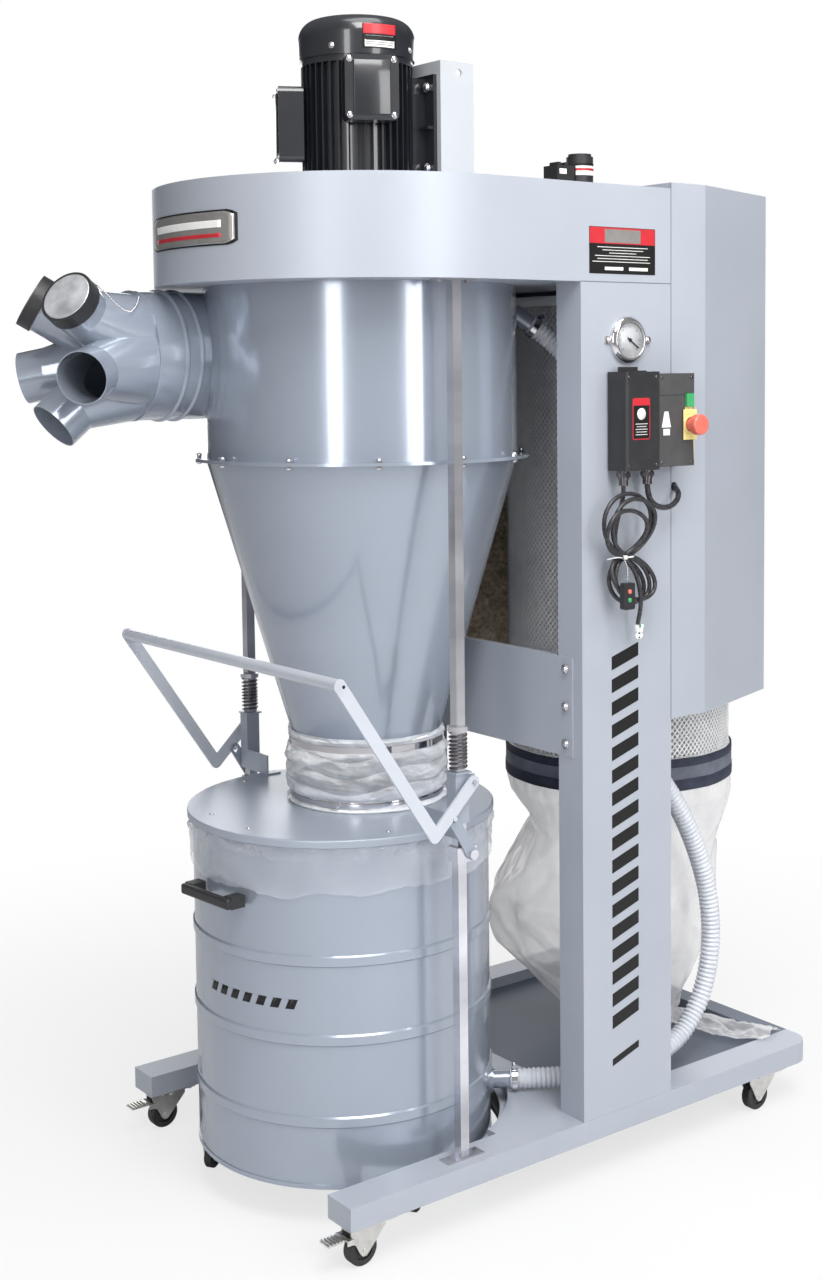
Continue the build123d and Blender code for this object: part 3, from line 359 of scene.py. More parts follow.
# ---- cords ------------------------------------------------------------------------------------
HOSE_D, CORD_D, LEAD_D = 41.0, 8.5, 11.0
HOSE_ROUTE = [
    (291.4, -168.3, 1666.2), (330, -190.6, 1635), (352, -232, 1581), (356, -287, 1516),
    (351, -332, 1438), (343, -354, 1345), (345, -357, 1215), (352, -358, 1085), (364, -349, 981),
    (401, -312, 895), (458, -288, 824), (524, -284, 752), (585, -287, 672), (634, -289, 580),
    (671, -290, 478), (683, -290, 370), (661, -289, 262), (598, -288, 182), (520, -290, 158),
    (440, -287, 156), (365, -272, 158), (312, -255, 157), (257, -224, 158), (206.5, -188.7, 158)]
LEAD_ROUTE = [(362, -425, 1358.2), (364, -425, 1337), (376, -426, 1320), (399, -428, 1311),
              (424, -428, 1313), (446, -424, 1326), (459, -412, 1341), (463, -395, 1348)]
RIB_PITCH, RIB_DEPTH = 9.6, 3.0


def ribbed_hose():
    """The corrugated hose, its ribs laid evenly along the spline."""
    guide = spline("hose_guide", HOSE_ROUTE, 16)
    line = evenly(spline_points(guide), RIB_PITCH / 8000)
    bpy.data.objects.remove(guide)
    crest = HOSE_D / 2 - RIB_DEPTH

    def radius(i):
        wave = 0.5 + 0.5 * math.cos(2 * math.pi * i / 8)
        return crest + RIB_DEPTH * wave ** 0.6
    back = [p * 1000 + ORIGIN for p in line]
    hose = Shape().sweep(back, radius, 28).make("ribbed_hose", "hose")
    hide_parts("vacuum_hose")
    return hose


def round_cord(name, route, diameter, node):
    """A smooth round cord along its route, from its fixed end."""
    cord = spline(name, route)
    cord.data.bevel_depth = diameter / 2000
    cord.data.bevel_resolution = 5
    cord.data.use_fill_caps = True
    cord.data.materials.append(M["cord"])
    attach(cord, "frame")
    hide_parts(node)
    return cord


TIE_Z = 1224.0
STRANDS = [(299, -411), (303, -420), (306, -429.5), (312, -420), (315, -429.5), (294, -420), (297, -429.5)]
LOBES = [(51, -94, 33, -411), (69, 122, -5, -437), (49, -88, 29, -423), (62, 112, -3, -446),
         (51, -84, 31, -435), (58, 92, -14, -455)]


def hank_route():
    """Down from the gland, then loops below and above the tie by turns, and out at the bottom."""
    route = [(300, -425, 1359), (300, -425, 1345), (297, -423, 1322), (288, -418, 1287), (287, -414, 1256)]
    steps = 12
    for k, (width, height, lean, depth) in enumerate(LOBES):
        (x0, y0), (x1, y1) = STRANDS[k], STRANDS[k + 1]
        for i in range(steps + (k == len(LOBES) - 1)):
            t = i / steps
            turn = 2 * math.pi * t
            rise = (1 - math.cos(turn)) / 2
            swing = width * math.sin(turn) * math.sin(turn / 2) ** 0.25
            out = min(1.0, 1.3 * rise)
            out = out * out * (3 - 2 * out)
            y = (y0 + (y1 - y0) * t) * (1 - out) + depth * out
            route.append((x0 + (x1 - x0) * t + swing + lean * rise, y, TIE_Z + height * rise))
    return route + [(317, -436, 1199), (324, -442, 1171), (328, -443, 1142), (332, -436, 1117),
                    (335, -428, 1101), (337, -425, 1094)]


ribbed_hose()
round_cord("control_lead", LEAD_ROUTE, LEAD_D, "motor_lead")


def cord_tails():
    """The two short cores between the jacket's end and the ring terminals."""
    cores = Shape()
    for x0, x1 in ((336, 334.6), (340, 345.4)):
        line = [Vector((x0, -425, 1096)), Vector(((x0 + x1) / 2, -426, 1090)), Vector((x1, -425, 1082))]
        cores.sweep(line, 1.7, 8)
    return cores.make("cord_cores", "green")


cores = cord_tails()
round_cord("supply_cord", hank_route(), CORD_D, "power_cord")


# ---- film, springs and filter -----------------------------------------------------------------
def ridges(point, octaves=3):
    """Sharp-crested noise from 0 to about 1, as in creased film."""
    total, size = 0.0, 1.0
    for _ in range(octaves):
        total += size * (1 - abs(noise.noise(point)) * 2.6)
        point = point * 2.1 + Vector((7.3, 1.9, 4.7))
        size *= 0.5
    return max(total / 1.75, -0.4)


def folds(turn, z, table):
    """Sharp folds that run round and down a tube: (times round, pitch, depth, shift) rows."""
    total = 0.0
    for around, pitch, depth, shift in table:
        phase = (around * turn / (2 * math.pi) + z / pitch + shift) % 1.0
        total += depth * (abs(phase - 0.5) * 4 - 1)
    return total


def between(table, z):
    """The other columns of a table at a height."""
    for low, high in zip(table, table[1:]):
        if (low[0] - z) * (high[0] - z) <= 0:
            t = (z - low[0]) / (high[0] - low[0])
            return [a + (b - a) * t for a, b in zip(low[1:], high[1:])]
    return list(table[-1][1:])


FILTER_X, FILTER_R = 685.0, 244.0
TRAY_FLOOR = 109.0
# The bag's sections, as (height, x, y, radius).
BAG = [(732, 685, 0, 248.5), (690, 685, 0, 248), (650, 687, -2, 242), (590, 693, -6, 215),
       (566, 693, -6, 212), (480, 668, 12, 232), (422, 656, 22, 246), (390, 654, 24, 244),
       (300, 653, 24, 222), (240, 664, 14, 182), (190, 676, 4, 148), (145, 686, -6, 120),
       (114, 690, -12, 112)]
BAG_FOLDS = [(3, 430, 8.5, 0.1), (-4, 350, 6.0, 0.55), (7, -300, 3.6, 0.3), (-9, 190, 2.6, 0.8),
             (14, 160, 1.3, 0.2), (-17, -120, 1.1, 0.6)]


def fines_bag():
    """The fines bag: gathered by a strap above, pinched at its waist, its corner on the tray."""
    rows, columns = 150, 200
    top, foot = BAG[0][0], BAG[-1][0]

    def point(i, j):
        z = top + (foot - top) * i / (rows - 1)
        x, y, radius = between(BAG, z)
        turn = 2 * math.pi * j / columns
        loose = min(1.0, max(0.0, (706 - z) / 110)) * min(1.0, (z - foot) / 60 + 0.15)
        swirl = turn + 0.30 * noise.noise(Vector((math.cos(turn), math.sin(turn), z / 160)))
        seed = Vector((math.cos(swirl) * 1.7, math.sin(swirl) * 1.7, z / 210))
        crease = ridges(seed) * 7 - 3
        fine = noise.noise(Vector((math.cos(turn) * 9, math.sin(turn) * 9, z / 38))) * 0.8
        flat = folds(swirl, z, BAG_FOLDS)
        gathers = 1.2 * math.sin(turn * 44) * min(1.0, max(0.0, (z - 600) / 80))
        radius += loose * (crease + fine + flat) + gathers
        return Vector((x + radius * math.cos(turn), y + radius * math.sin(turn), z))
    bag = Shape().grid(point, rows, columns, wrap=True)

    def floor(i, j):
        edge = point(rows - 1, j)
        share = 1 - i / 9
        middle = Vector((BAG[-1][1], BAG[-1][2], TRAY_FLOOR + 3))
        return middle + (edge - middle) * share
    bag.grid(floor, 10, columns, wrap=True)
    piece = bag.make("fines_bag", "film")
    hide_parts("dust_bag")


def bag_corner():
    """The bag's empty corner, spread over the tray towards the rail."""
    edge_a = [Vector(p) for p in ((690, -60, 150), (726, -170, 142), (756, -262, 140), (790, -338, 146))]
    edge_b = [Vector(p) for p in ((720, 40, 150), (785, -30, 140), (832, -160, 138), (866, -322, 146))]

    def along(points, t):
        span = t * (len(points) - 1)
        k = min(int(span), len(points) - 2)
        return points[k].lerp(points[k + 1], span - k)

    def point(i, j):
        s, t = i / 49, j / 49
        place = along(edge_a, s).lerp(along(edge_b, s), t)
        rise = ridges(Vector((s * 4.6, t * 3.0, 2.0))) * 15 * (0.4 + math.sin(math.pi * t))
        least = 136.5 if place.y < -318 else TRAY_FLOOR + 2
        return Vector((place.x, place.y, max(least, place.z - 14 + rise)))
    piece = Shape().grid(point, 50, 50).make("fines_bag_corner", "film", flip=False)


DRUM_X, DRUM_R, DRUM_TOP = -63.0, 290.0, 721.5
CUFF_FOLDS = [(11, 210, 0.9, 0.1), (-17, -160, 0.7, 0.4), (31, 90, 0.5, 0.7)]


def liner_cuff():
    """The liner's cuff, folded down over the drum's rim and crumpled under the lid."""
    rows, columns = 26, 420

    def point(i, j):
        turn = 2 * math.pi * j / columns
        around = Vector((math.cos(turn) * 2.2, math.sin(turn) * 2.2, 0.0))
        hem = 634 + 15 * noise.noise(around * 1.3) + 5 * noise.noise(around * 6)
        share = i / (rows - 1)
        z = DRUM_TOP - 1 + (hem - DRUM_TOP + 1) * share
        seed = Vector((around.x * 2.4, around.y * 2.4, z / 34))
        pucker = max(0.0, ridges(seed, 2) - 0.25) * (4 if share > 0.3 else 13) + \
            1.1 * folds(turn, z, CUFF_FOLDS)
        radius = DRUM_R + 5.2 + 1.2 * noise.noise(seed * 2) + pucker * (0.35 + 0.65 * (1 - share))
        return Vector((DRUM_X + radius * math.cos(turn), radius * math.sin(turn), z))
    piece = Shape().grid(point, rows, columns, wrap=True).make("liner_cuff", "cuff", "drum")
    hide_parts("drum_liner")


SLEEVE_TOP, SLEEVE_FOOT, SLEEVE_R = 880.0, 741.0, 149.4
COLLAR_REACH = 778.0
SLEEVE_FOLDS = [(2, 41, 1.8, 0.1), (-3, 33, 1.6, 0.4), (9, 52, 1.4, 0.7), (-13, -37, 1.0, 0.2),
                (26, 60, 0.7, 0.5)]


def sleeve():
    """The film sleeve, tied at both ends and crumpled in slanting folds between them."""
    rows, columns = 110, 300

    def point(i, j):
        share = i / (rows - 1)
        z = SLEEVE_TOP + (SLEEVE_FOOT - SLEEVE_TOP) * share
        turn = 2 * math.pi * j / columns
        free = min(1.0, abs(z - 858) / 14, abs(z - 752) / 12)
        lean = z + 8 * math.sin(turn * 2 + 0.6) + 5 * math.sin(turn * 5 + 1)
        seed = Vector((math.cos(turn) * 2.6, math.sin(turn) * 2.6, lean / 24))
        fold = max(0.0, ridges(seed)) * 4 + folds(turn, z, SLEEVE_FOLDS)
        puff = 9.5 * abs(math.sin((lean - 752) / 32 * math.pi)) ** 0.7 if z < 852 else 1.0
        radius = SLEEVE_R + free * (fold + puff) + (2.4 if z > 864 else 0.0)
        if z < COLLAR_REACH:
            radius = max(radius, SLEEVE_R + 0.4)
        return Vector((radius * math.cos(turn), radius * math.sin(turn), z))
    piece = Shape().grid(point, rows, columns, wrap=True).make("sleeve", "sleeve")
    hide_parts("flexible_sleeve")
    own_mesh(piece)


def sleeve_bands():
    """The lower steel band and the soft ring under it, on the lid's collar."""
    strip = [(151.6, 746), (153.2, 746), (153.2, 758), (151.6, 758), (151.6, 746)]
    band = Shape().lathe(strip, (0, 0, 0), sides=120)
    for angle in (-2.6, 0.9):
        x, y = polar(156, angle)
        band.box((x - 9, y - 4, 747), (x + 9, y + 4, 757), Matrix.Rotation(angle + math.pi / 2, 3, "Z"))
    band.make("sleeve_lower_band", "chrome", "lid", "zinc", bevel=0.6)
    ring = [(148.6, 736.5), (154.5, 736.5), (156, 739), (154.5, 742), (148.6, 743.5)]
    Shape().lathe(ring, (0, 0, 0), sides=120).make("collar_seal", "nylon", "lid")
    bead = [(149.4, 870), (152.4, 870), (153.2, 872), (152.4, 874), (149.4, 874)]
    Shape().lathe(bead, (0, 0, 0), sides=120).make("sleeve_upper_bead", "nylon")


ROD_X, ROD_Y = -50.0, 360.0
SEAT_Z, TOP_COLLAR_Z = 856.0, 930.0


def springs():
    """The two compression springs, closed at their ends."""
    coils, thick = 9.5, 1.7
    coil = Shape()
    for side in (-1, 1):
        line = []
        steps = int(coils * 28)
        for i in range(steps + 1):
            share = i / steps
            pitch = share + 0.02 * math.sin(2 * math.pi * share)
            z = SEAT_Z + thick + 0.4 + (TOP_COLLAR_Z - SEAT_Z - 2 * thick - 0.8) * pitch
            x, y = polar(15.6, 2 * math.pi * coils * share, ROD_X, side * ROD_Y)
            line.append(Vector((x, y, z)))
        coil.sweep(line, thick, 10)
    piece = coil.make("coil_springs", "steel")
    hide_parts("lift_springs")
    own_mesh(piece)


RING_TOP, RING_BOTTOM, FILTER_TOP = 755.0, 690.0, 1730.0


def expanded_mesh():
    """Two families of slanting strands that cross into diamonds round the filter."""
    around, pitch, strand = 128, 14.0, 1.6
    turn_step = 2 * math.pi / around
    rows = int((FILTER_TOP - 20 - RING_TOP) / pitch) + 1
    lattice = Shape()
    for family, radius in ((1, FILTER_R - 0.2), (-1, FILTER_R - 0.9)):
        for k in range(around):
            def point(i, j):
                z = RING_TOP - 1 + i * pitch
                turn = turn_step * (k + family * i) + (j - 0.5) * 2 * strand / radius
                x, y = polar(radius + 0.5 * j, turn, FILTER_X)
                return Vector((x, y, z))
            lattice.grid(point, rows, 2)
    mesh = lattice.make("filter_mesh", "galvanised", smooth=False, flip=False)
    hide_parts("filter_cage")
    top, low = FILTER_TOP, RING_BOTTOM + 1
    upper = [(116, top - 20), (112, top - 20), (112, 1739), (116, 1739), (116, top), (246, top),
             (247, top - 2), (247, top - 20), (244.5, top - 21), (244.5, top - 4), (116, top - 4),
             (116, top - 20)]
    lower = [(208, RING_TOP - 3), (208, RING_TOP), (245, RING_TOP), (246.6, RING_TOP - 2), (246.6, 734),
             (245.6, 732), (245.6, low), (244, low), (244, RING_TOP - 3), (208, RING_TOP - 3)]
    ends = Shape()
    for profile in (upper, lower):
        ends.lathe(profile, (FILTER_X, 0, 0), sides=160)
    ends.make("filter_end_rings", "galvanised")


def strap():
    """The webbing strap that ties the bag on: a wide band between two darker edges."""
    for name, mat, z0, z1, radius in (("strap_top", "strap", 737, 756, 249.6),
                                      ("strap_foot", "strap", 687, 711, 250.6),
                                      ("strap_middle", "strap_mid", 705, 742, 249.0)):
        def point(i, j):
            turn = 2 * math.pi * j / 180
            bulge = (0, 1.1, 1.5, 1.1, 0, -1.4, -1.6, -1.4, 0)[i]
            z = (z0, z0 + 1, (z0 + z1) / 2, z1 - 1, z1, z1 - 1, (z0 + z1) / 2, z0 + 1, z0)[i]
            wobble = 0.7 * noise.noise(Vector((math.cos(turn) * 3, math.sin(turn) * 3, z0)))
            x, y = polar(radius + bulge + wobble, turn, FILTER_X)
            return Vector((x, y, z + 3 * wobble))
        Shape().grid(point, 9, 180, wrap=True).make(name, mat)


HOOD = [(454.8, -395.5), (549.7, -395.5), (832.0, -298.4), (955.0, -120.0),
        (955.0, 120.0), (832.0, 298.4), (549.7, 395.5), (454.8, 395.5)]
HOOD_BOTTOM, HOOD_TOP = 889.5, 1933.5


def egg_crate():
    """The foam lining: rows of soft peaks along the hood's walls."""
    corners = [Vector((x, y, 0)) for x, y in HOOD]
    corners[0].x = corners[-1].x = 484.0
    runs = [(b - a).length for a, b in zip(corners, corners[1:])]
    total, step, peak = sum(runs), 8.0, 38.0
    columns = int(total / step)
    rows = int((FILTER_TOP - HOOD_BOTTOM - 20) / step)

    def wall(distance):
        for a, b, run in zip(corners, corners[1:], runs):
            if distance <= run:
                along = (b - a).normalized()
                return a + along * distance, Vector((-along.y, along.x, 0))
            distance -= run
        return corners[-1].copy(), Vector((0, -1, 0))

    def point(i, j):
        distance = total * j / (columns - 1)
        z = HOOD_BOTTOM + 20 + i * step
        place, inward = wall(min(distance, total - 0.01))
        hills = math.sin(math.pi * distance / peak) * math.sin(math.pi * z / peak)
        depth = 9.5 + 5.0 * hills + 1.2 * noise.noise(Vector((distance / 15, z / 15, 3)))
        return Vector((place.x, place.y, z)) + inward * depth
    piece = Shape().grid(point, rows, columns).make("egg_crate_foam", "foam", flip=False)
    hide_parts("acoustic_foam")


fines_bag()
bag_corner()
liner_cuff()
sleeve()
sleeve_bands()
springs()
expanded_mesh()
strap()
egg_crate()

# ---- finishes of the CAD pieces ---------------------------------------------------------------
FINISHES = {
    "paint": ("cyclone_barrel", "cyclone_cone", "drum_shell", "port_manifold", "lift_links"),
    # The platform takes the dark painted shade of the tray floor.
    "satin": ("lid",), "tube": ("lift_handle",), "shade_and_seams": ("platform",), "pale": ("motor_bracket",),
    "chrome": ("frame_bolts", "band_clamps"),
    "zinc": ("caster_plates", "vacuum_gauge", "fork_", "drum_fork", "pedal_"),
    "enamel": ("motor_body", "motor_covers"), "steel": ("impeller", "filter_agitator", "lift_springs"),
    "rod": ("lift_rods",), "galvanised": ("filter_cage",), "paper": ("filter_pleats",),
    "foam": ("acoustic_foam",),
    "black": ("port_cap_", "agitator_drive", "drum_handles", "switch_box", "cord_ends"),
    "print_black": ("gauge_needle",), "tyre": ("wheel_", "drum_wheel"), "red": ("estop_button",),
    "green": ("start_button",), "cord": ("power_cord", "motor_lead"), "hose": ("vacuum_hose",),
    "film": ("dust_bag",), "cuff": ("drum_liner",), "sleeve": ("flexible_sleeve",)}


def finish_of(name):
    """The material of a CAD piece, by the start of its name; textured paint on the rest."""
    return next((mat for mat, starts in FINISHES.items() if name.startswith(starts)), "texture")


for name, node in NODES.items():
    node.data.materials.clear()
    node.data.materials.append(M[finish_of(name)])


def repaint(name, choose):
    """Faces of a CAD piece take the material that choose(centre, normal) names, or keep their own."""
    node = NODES[name]
    found = {}
    for face in node.data.polygons:
        centre = node.matrix_world @ face.center * 1000 + ORIGIN
        normal = (node.matrix_world.to_3x3() @ face.normal).normalized()
        wanted = choose(centre, normal)
        if wanted:
            if wanted not in found:
                node.data.materials.append(M[wanted])
                found[wanted] = len(node.data.materials) - 1
            face.material_index = found[wanted]


BOX_FLOOR, COVER_LEFT, TRAY_START, RAIL_INNER, HUB_RADIUS = 1386.5, 371.5, 299, 327, 12.5


def box_parts(c, n):
    """Glands of steel below the box, a yellow plate round the stop button and a grey cover."""
    if c.z < BOX_FLOOR:
        return "steel"
    if 433 < c.x < 470.5 and 1440 < c.z < 1500 and c.y < -446.9 and n.y < -0.5:
        return "yellow"
    return "cover" if c.x > COVER_LEFT and c.z < 1570 else None


repaint("switch_box", box_parts)
# The tray floor between the rails keeps the dark painted shade; the rails and the front edge take the
# textured paint.
repaint("platform", lambda c, n: "texture" if c.x < TRAY_START or abs(c.y) > RAIL_INNER else None)
repaint("cord_ends", lambda c, n: "galvanised" if c.x > 320 else None)
for wheel in (name for name in NODES if name.startswith(("wheel_", "drum_wheel"))):
    spots = [NODES[wheel].matrix_world @ Vector(c) * 1000 + ORIGIN for c in NODES[wheel].bound_box]
    hub = sum(spots, Vector()) / len(spots)
    repaint(wheel, lambda c, n, hub=hub: "zinc" if (c - hub).length < HUB_RADIUS else None)

# The five inlet stubs, as (middle of the rim, outward direction).
PORTS = []
for k in range(5):
    angle = math.radians(-18 + 72 * k)
    spread = Vector((0, -math.cos(angle), math.sin(angle)))
    tilt = math.radians(40)
    PORTS.append((Vector((-566, 180, 1611)) + spread * 128,
                  Vector((-math.cos(tilt), 0, 0)) + spread * math.sin(tilt)))


# ---- trim -------------------------------------------------------------------------------------
def plate(name, x0, x1, z0, z1, y, mat, thick=0.5, corner=0.0):
    """A thin plate that faces the near side, its corners cut if asked."""
    c = corner
    ring = [(x0 + c, y, z0), (x1 - c, y, z0), (x1, y, z0 + c), (x1, y, z1 - c), (x1 - c, y, z1),
            (x0 + c, y, z1), (x0, y, z1 - c), (x0, y, z0 + c)] if c else \
        [(x0, y, z0), (x1, y, z0), (x1, y, z1), (x0, y, z1)]
    return Shape().outline(ring, (0, -thick, 0)).make(name, mat, bevel=0.15, smooth=False)


def wrapped(name, radius, a0, a1, z0, z1, mat, x=0.0, thick=0.6, corner=0.0):
    """A thin plate bent round an upright cylinder."""
    steps = 28

    def point(i, j):
        u = min(1.0, max(0.0, (j - 1) / (steps - 3)))
        depth = 0.0 if j in (0, steps - 1) or i in (0, 5) else thick
        turn = math.radians(a0 + (a1 - a0) * u)
        cut = 0.0
        if corner and (u < 0.06 or u > 0.94):
            cut = corner * (1 - min(u, 1 - u) / 0.06)
        z = (z0 + cut, z0 + cut, z0 + cut + 1, z1 - cut - 1, z1 - cut, z1 - cut)[i]
        return Vector((*polar(radius + depth, turn, x), z))
    return Shape().grid(point, 6, steps).make(name, mat, flip=False)


def screws(name, heads, size, mat="chrome", body="frame", slot="zinc", domed=True):
    """Screw heads at (place, outward) pairs."""
    heads_of = Shape()
    dome = [(size, 0), (size, size * 0.25), (size * 0.85, size * 0.55), (size * 0.45, size * 0.75),
            (0.01, size * 0.8)]
    washer = [(size * 1.45, 0), (size * 1.45, size * 0.14), (size * 0.9, size * 0.16)]
    flat = [(size, 0), (size, size * 0.5), (0.01, size * 0.5)]
    for place, out in heads:
        for profile in (dome, washer) if domed else (flat,):
            heads_of.lathe(profile, place, out, 20)
    return heads_of.make(name, mat, body, slot)


def rule(shape, x0, x1, z0, z1, y):
    """Adds a printed bar that faces the near side."""
    shape.outline([(x0, y, z0), (x1, y, z0), (x1, y, z1), (x0, y, z1)], (0, -0.2, 0))


FACE, NEAR = -395.5, Vector((0, -1, 0))
# The housing's badge: a dark rim, a grey field, a light bar over a red bar.
for name, radius, a0, a1, z0, z1, mat, thick, corner in (
        ("badge_rim", 395.7, 160.0, 202.8, 1802, 1864, "print_black", 1.0, 7),
        ("badge_line", 396.5, 161.0, 201.8, 1805, 1861, "zinc", 0.5, 7),
        ("badge_field", 396.9, 161.6, 201.2, 1807, 1859, "print_grey", 0.5, 7),
        ("badge_bar_light", 397.3, 165.0, 197.5, 1833, 1846, "white", 0.5, 0),
        ("badge_bar_red", 397.3, 165.0, 197.5, 1816, 1823, "print_red", 0.5, 0)):
    wrapped(name, radius, a0, a1, z0, z1, mat, thick=thick, corner=corner)
# The housing's data plate, unlettered.
plate("data_plate", 242, 412, 1755, 1842, FACE, "print_black")
plate("data_plate_head", 243, 411, 1811, 1841, FACE - 0.5, "print_red", thick=0.2)
plate("data_plate_field", 281, 373, 1813, 1838, FACE - 0.7, "print_grey", thick=0.2)
rules = Shape()
for k, (a, b) in enumerate(((262, 392), (275, 380), (292, 362), (256, 398), (262, 392), (250, 398))):
    rule(rules, a, b, 1804 - 5.4 * k, 1805.1 - 5.4 * k, FACE - 0.6)
for a, b in ((281, 328), (343, 392)):
    rule(rules, a, b, 1762, 1768, FACE - 0.6)
rules.make("data_plate_rules", "white", smooth=False)

# The motor's plate, cover screws and cowl screws.
wrapped("motor_plate", 112.3, -119, -84, 2180, 2225, "print_black", thick=0.5)
wrapped("motor_plate_head", 112.7, -118.6, -84.4, 2206, 2224.5, "print_red", thick=0.4)
wrapped("motor_plate_field", 112.7, -117, -86, 2182, 2195, "white", thick=0.4)
motor_heads, cover_panel = [], Shape()
# The terminal boxes: their angle, width, foot, top and depth, and the raised panel's width, foot and top.
for angle, width, z0, z1, depth, panel, p0, p1 in ((-114, 102, 2042, 2162, 38, 70, 2052, 2152),
                                                   (153, 92, 1976, 2118, 48, 62, 1988, 2106)):
    a = math.radians(angle)
    out, side = Vector((math.cos(a), math.sin(a), 0)), Vector((-math.sin(a), math.cos(a), 0))
    for u, z in ((-1, z0 + 9), (1, z0 + 9), (-1, z1 - 9), (1, z1 - 9)):
        motor_heads.append((out * (109 + depth) + side * u * (width / 2 - 9) + Vector((0, 0, z)), out))
    ring = [out * (108.5 + depth) + side * u * panel / 2 + Vector((0, 0, z))
            for u, z in ((-1, p0), (1, p0), (1, p1), (-1, p1))]
    cover_panel.outline(ring, out * 3)
for angle in (-150, -60, 30, 120):
    out = Vector((*polar(1, math.radians(angle)), 0))
    motor_heads.append((out * 112 + Vector((0, 0, 2186)), out))
screws("motor_screws", motor_heads, 4.2)
cover_panel.make("motor_cover_panels", "enamel", bevel=2.5)

# The gauge's dial, ring and marks.
GAUGE_X, GAUGE_Z = 338.0, 1631.6
Shape().lathe([(34, 0), (34, 0.6), (0.01, 0.7)], (GAUGE_X, FACE - 6.9, GAUGE_Z), NEAR, 48).make(
    "gauge_dial", "dial")
bezel = [(44.5, -5), (44.5, 0), (42.5, 2.4), (38, 6.6), (35.4, 7.4), (34.2, 6), (34.0, 2)]
Shape().lathe(bezel, (GAUGE_X, FACE - 5.2, GAUGE_Z), NEAR, 64).make("gauge_ring", "chrome")
marks = Shape()
for k in range(31):
    turn = math.radians(225 - 9 * k)
    length, width = (6.5, 0.9) if k % 5 == 0 else (3.2, 0.55)
    along, across = Vector((math.cos(turn), 0, math.sin(turn))), Vector((-math.sin(turn), 0, math.cos(turn)))
    middle = Vector((GAUGE_X, FACE - 7.7, GAUGE_Z))
    marks.outline([middle + along * r + across * w * width / 2
                   for r, w in ((29 - length, -1), (29, -1), (29, 1), (29 - length, 1))], (0, -0.2, 0))
marks.make("gauge_marks", "print_black", smooth=False)
screws("gauge_screws", [(Vector((GAUGE_X + dx, FACE - 5.8, GAUGE_Z)), NEAR) for dx in (-50, 50)], 4.4)

# The control box: plain stickers, screws and the ring round the stop button.
BOX, COVER = -449.0, -447.0
plate("box_label", 301, 346, 1445, 1523, BOX, "print_red", thick=0.3, corner=3)
plate("box_label_field", 303, 344, 1447, 1509, BOX - 0.3, "print_black", thick=0.2)
Shape().lathe([(11, 0), (11, 0.3), (0.01, 0.3)], (323.5, BOX - 0.5, 1493), NEAR, 36).make(
    "box_label_disc", "white")
label_lines = Shape()
for k, (a, b) in enumerate(((308, 339), (311, 336), (308, 339), (310, 337), (308, 339))):
    rule(label_lines, a, b, 1474 - 5 * k, 1475 - 5 * k, BOX - 0.5)
label_lines.make("box_label_lines", "white", smooth=False)
sticker = [(379, COVER, 1466), (403, COVER, 1466), (396, COVER, 1496), (386, COVER, 1496)]
Shape().outline(sticker, (0, -0.3, 0)).make("cover_sticker", "white", smooth=False)
plate("cover_tag", 383, 400, 1451, 1463, COVER, "white", thick=0.3)
box_heads = [(Vector((x, y, z)), NEAR) for y, left, right, low, high in ((BOX, 292, 363, 1397, 1562),
                                                                         (COVER, 379, 459, 1399, 1560))
             for x, z in ((left, high), (left, low), (right, low), (right, high))]
screws("box_screws", box_heads, 3.0, mat="steel", slot=None, domed=False)
collar = [(17.5, 0), (17.5, 1.2), (13.2, 1.8), (13.2, 0)]
Shape().lathe(collar, (452, BOX - 1.2, 1470), NEAR, 40).make("stop_collar", "yellow")

# The remote's two keys, and the tie round the hank.
for name, mat, z in (("remote_key_off", "red", 1162), ("remote_key_on", "green", 1146)):
    Shape().lathe([(4.4, 0), (4.4, 1.4), (3.4, 2), (0.01, 2)], (287, -455, z), NEAR, 20).make(name, mat)
tie = Shape()
loop = [Vector((305 + 20 * math.cos(t), -422 + 13.5 * math.sin(t), TIE_Z)) for t in
        [2 * math.pi * k / 40 for k in range(41)]]
tie.sweep(loop, 1.6, 8)
tail = [(288, -434, 1224), (278, -432, 1225), (268, -428, 1224), (257, -426, 1222)]
tie.sweep([Vector(p) for p in tail], 1.0, 8)
tie.box((291, -438, 1220), (298, -432, 1228))
tie.make("cable_tie", "nylon")

# The joint lines of the sheets: hood against post and housing, and housing on post.
POST_FRONT, POST_REAR, HOUSING_BOTTOM, SEAM = 220.7, 454.8, 1740.0, 0.8
seam = Shape()
for side in (-1, 1):
    for x0, x1, z0, z1 in ((POST_REAR - SEAM, POST_REAR + SEAM, HOOD_BOTTOM, HOOD_TOP),
                           (POST_FRONT, POST_REAR - SEAM, HOUSING_BOTTOM - SEAM, HOUSING_BOTTOM + SEAM)):
        y = -side * FACE
        seam.outline([(x0, y, z0), (x1, y, z0), (x1, y, z1), (x0, y, z1)], (0, side * 0.3, 0))
seam.make("sheet_seams", "shade_and_seams", smooth=False)

# Bright domed heads over the fasteners.
UP, DOWN, FRONT = Vector((0, 0, 1)), Vector((0, 0, -1)), Vector((-1, 0, 0))
heads = []
for k in range(12):
    x, y = polar(317, math.radians(30 * k - 119.6))
    heads += [(Vector((x, y, 1419.2)), UP), (Vector((x, y, 1405.8)), DOWN)]
screws("flange_domes", heads, 5.2)
heads = [(Vector((214.8, side * 352, z)), FRONT) for side in (-1, 1) for z in (866, 938, 1010)]
heads += [(Vector((102.2, y, z)), FRONT) for y in (-86, 86) for z in (1968, 2122)]
screws("panel_domes", heads, 6.4)
heads = [(Vector((*polar(262, math.radians(turn), DRUM_X), 736.2)), UP)
         for turn in (-105, -75, 105, 165, 195)]
screws("lid_domes", heads, 3.2, body="lid")

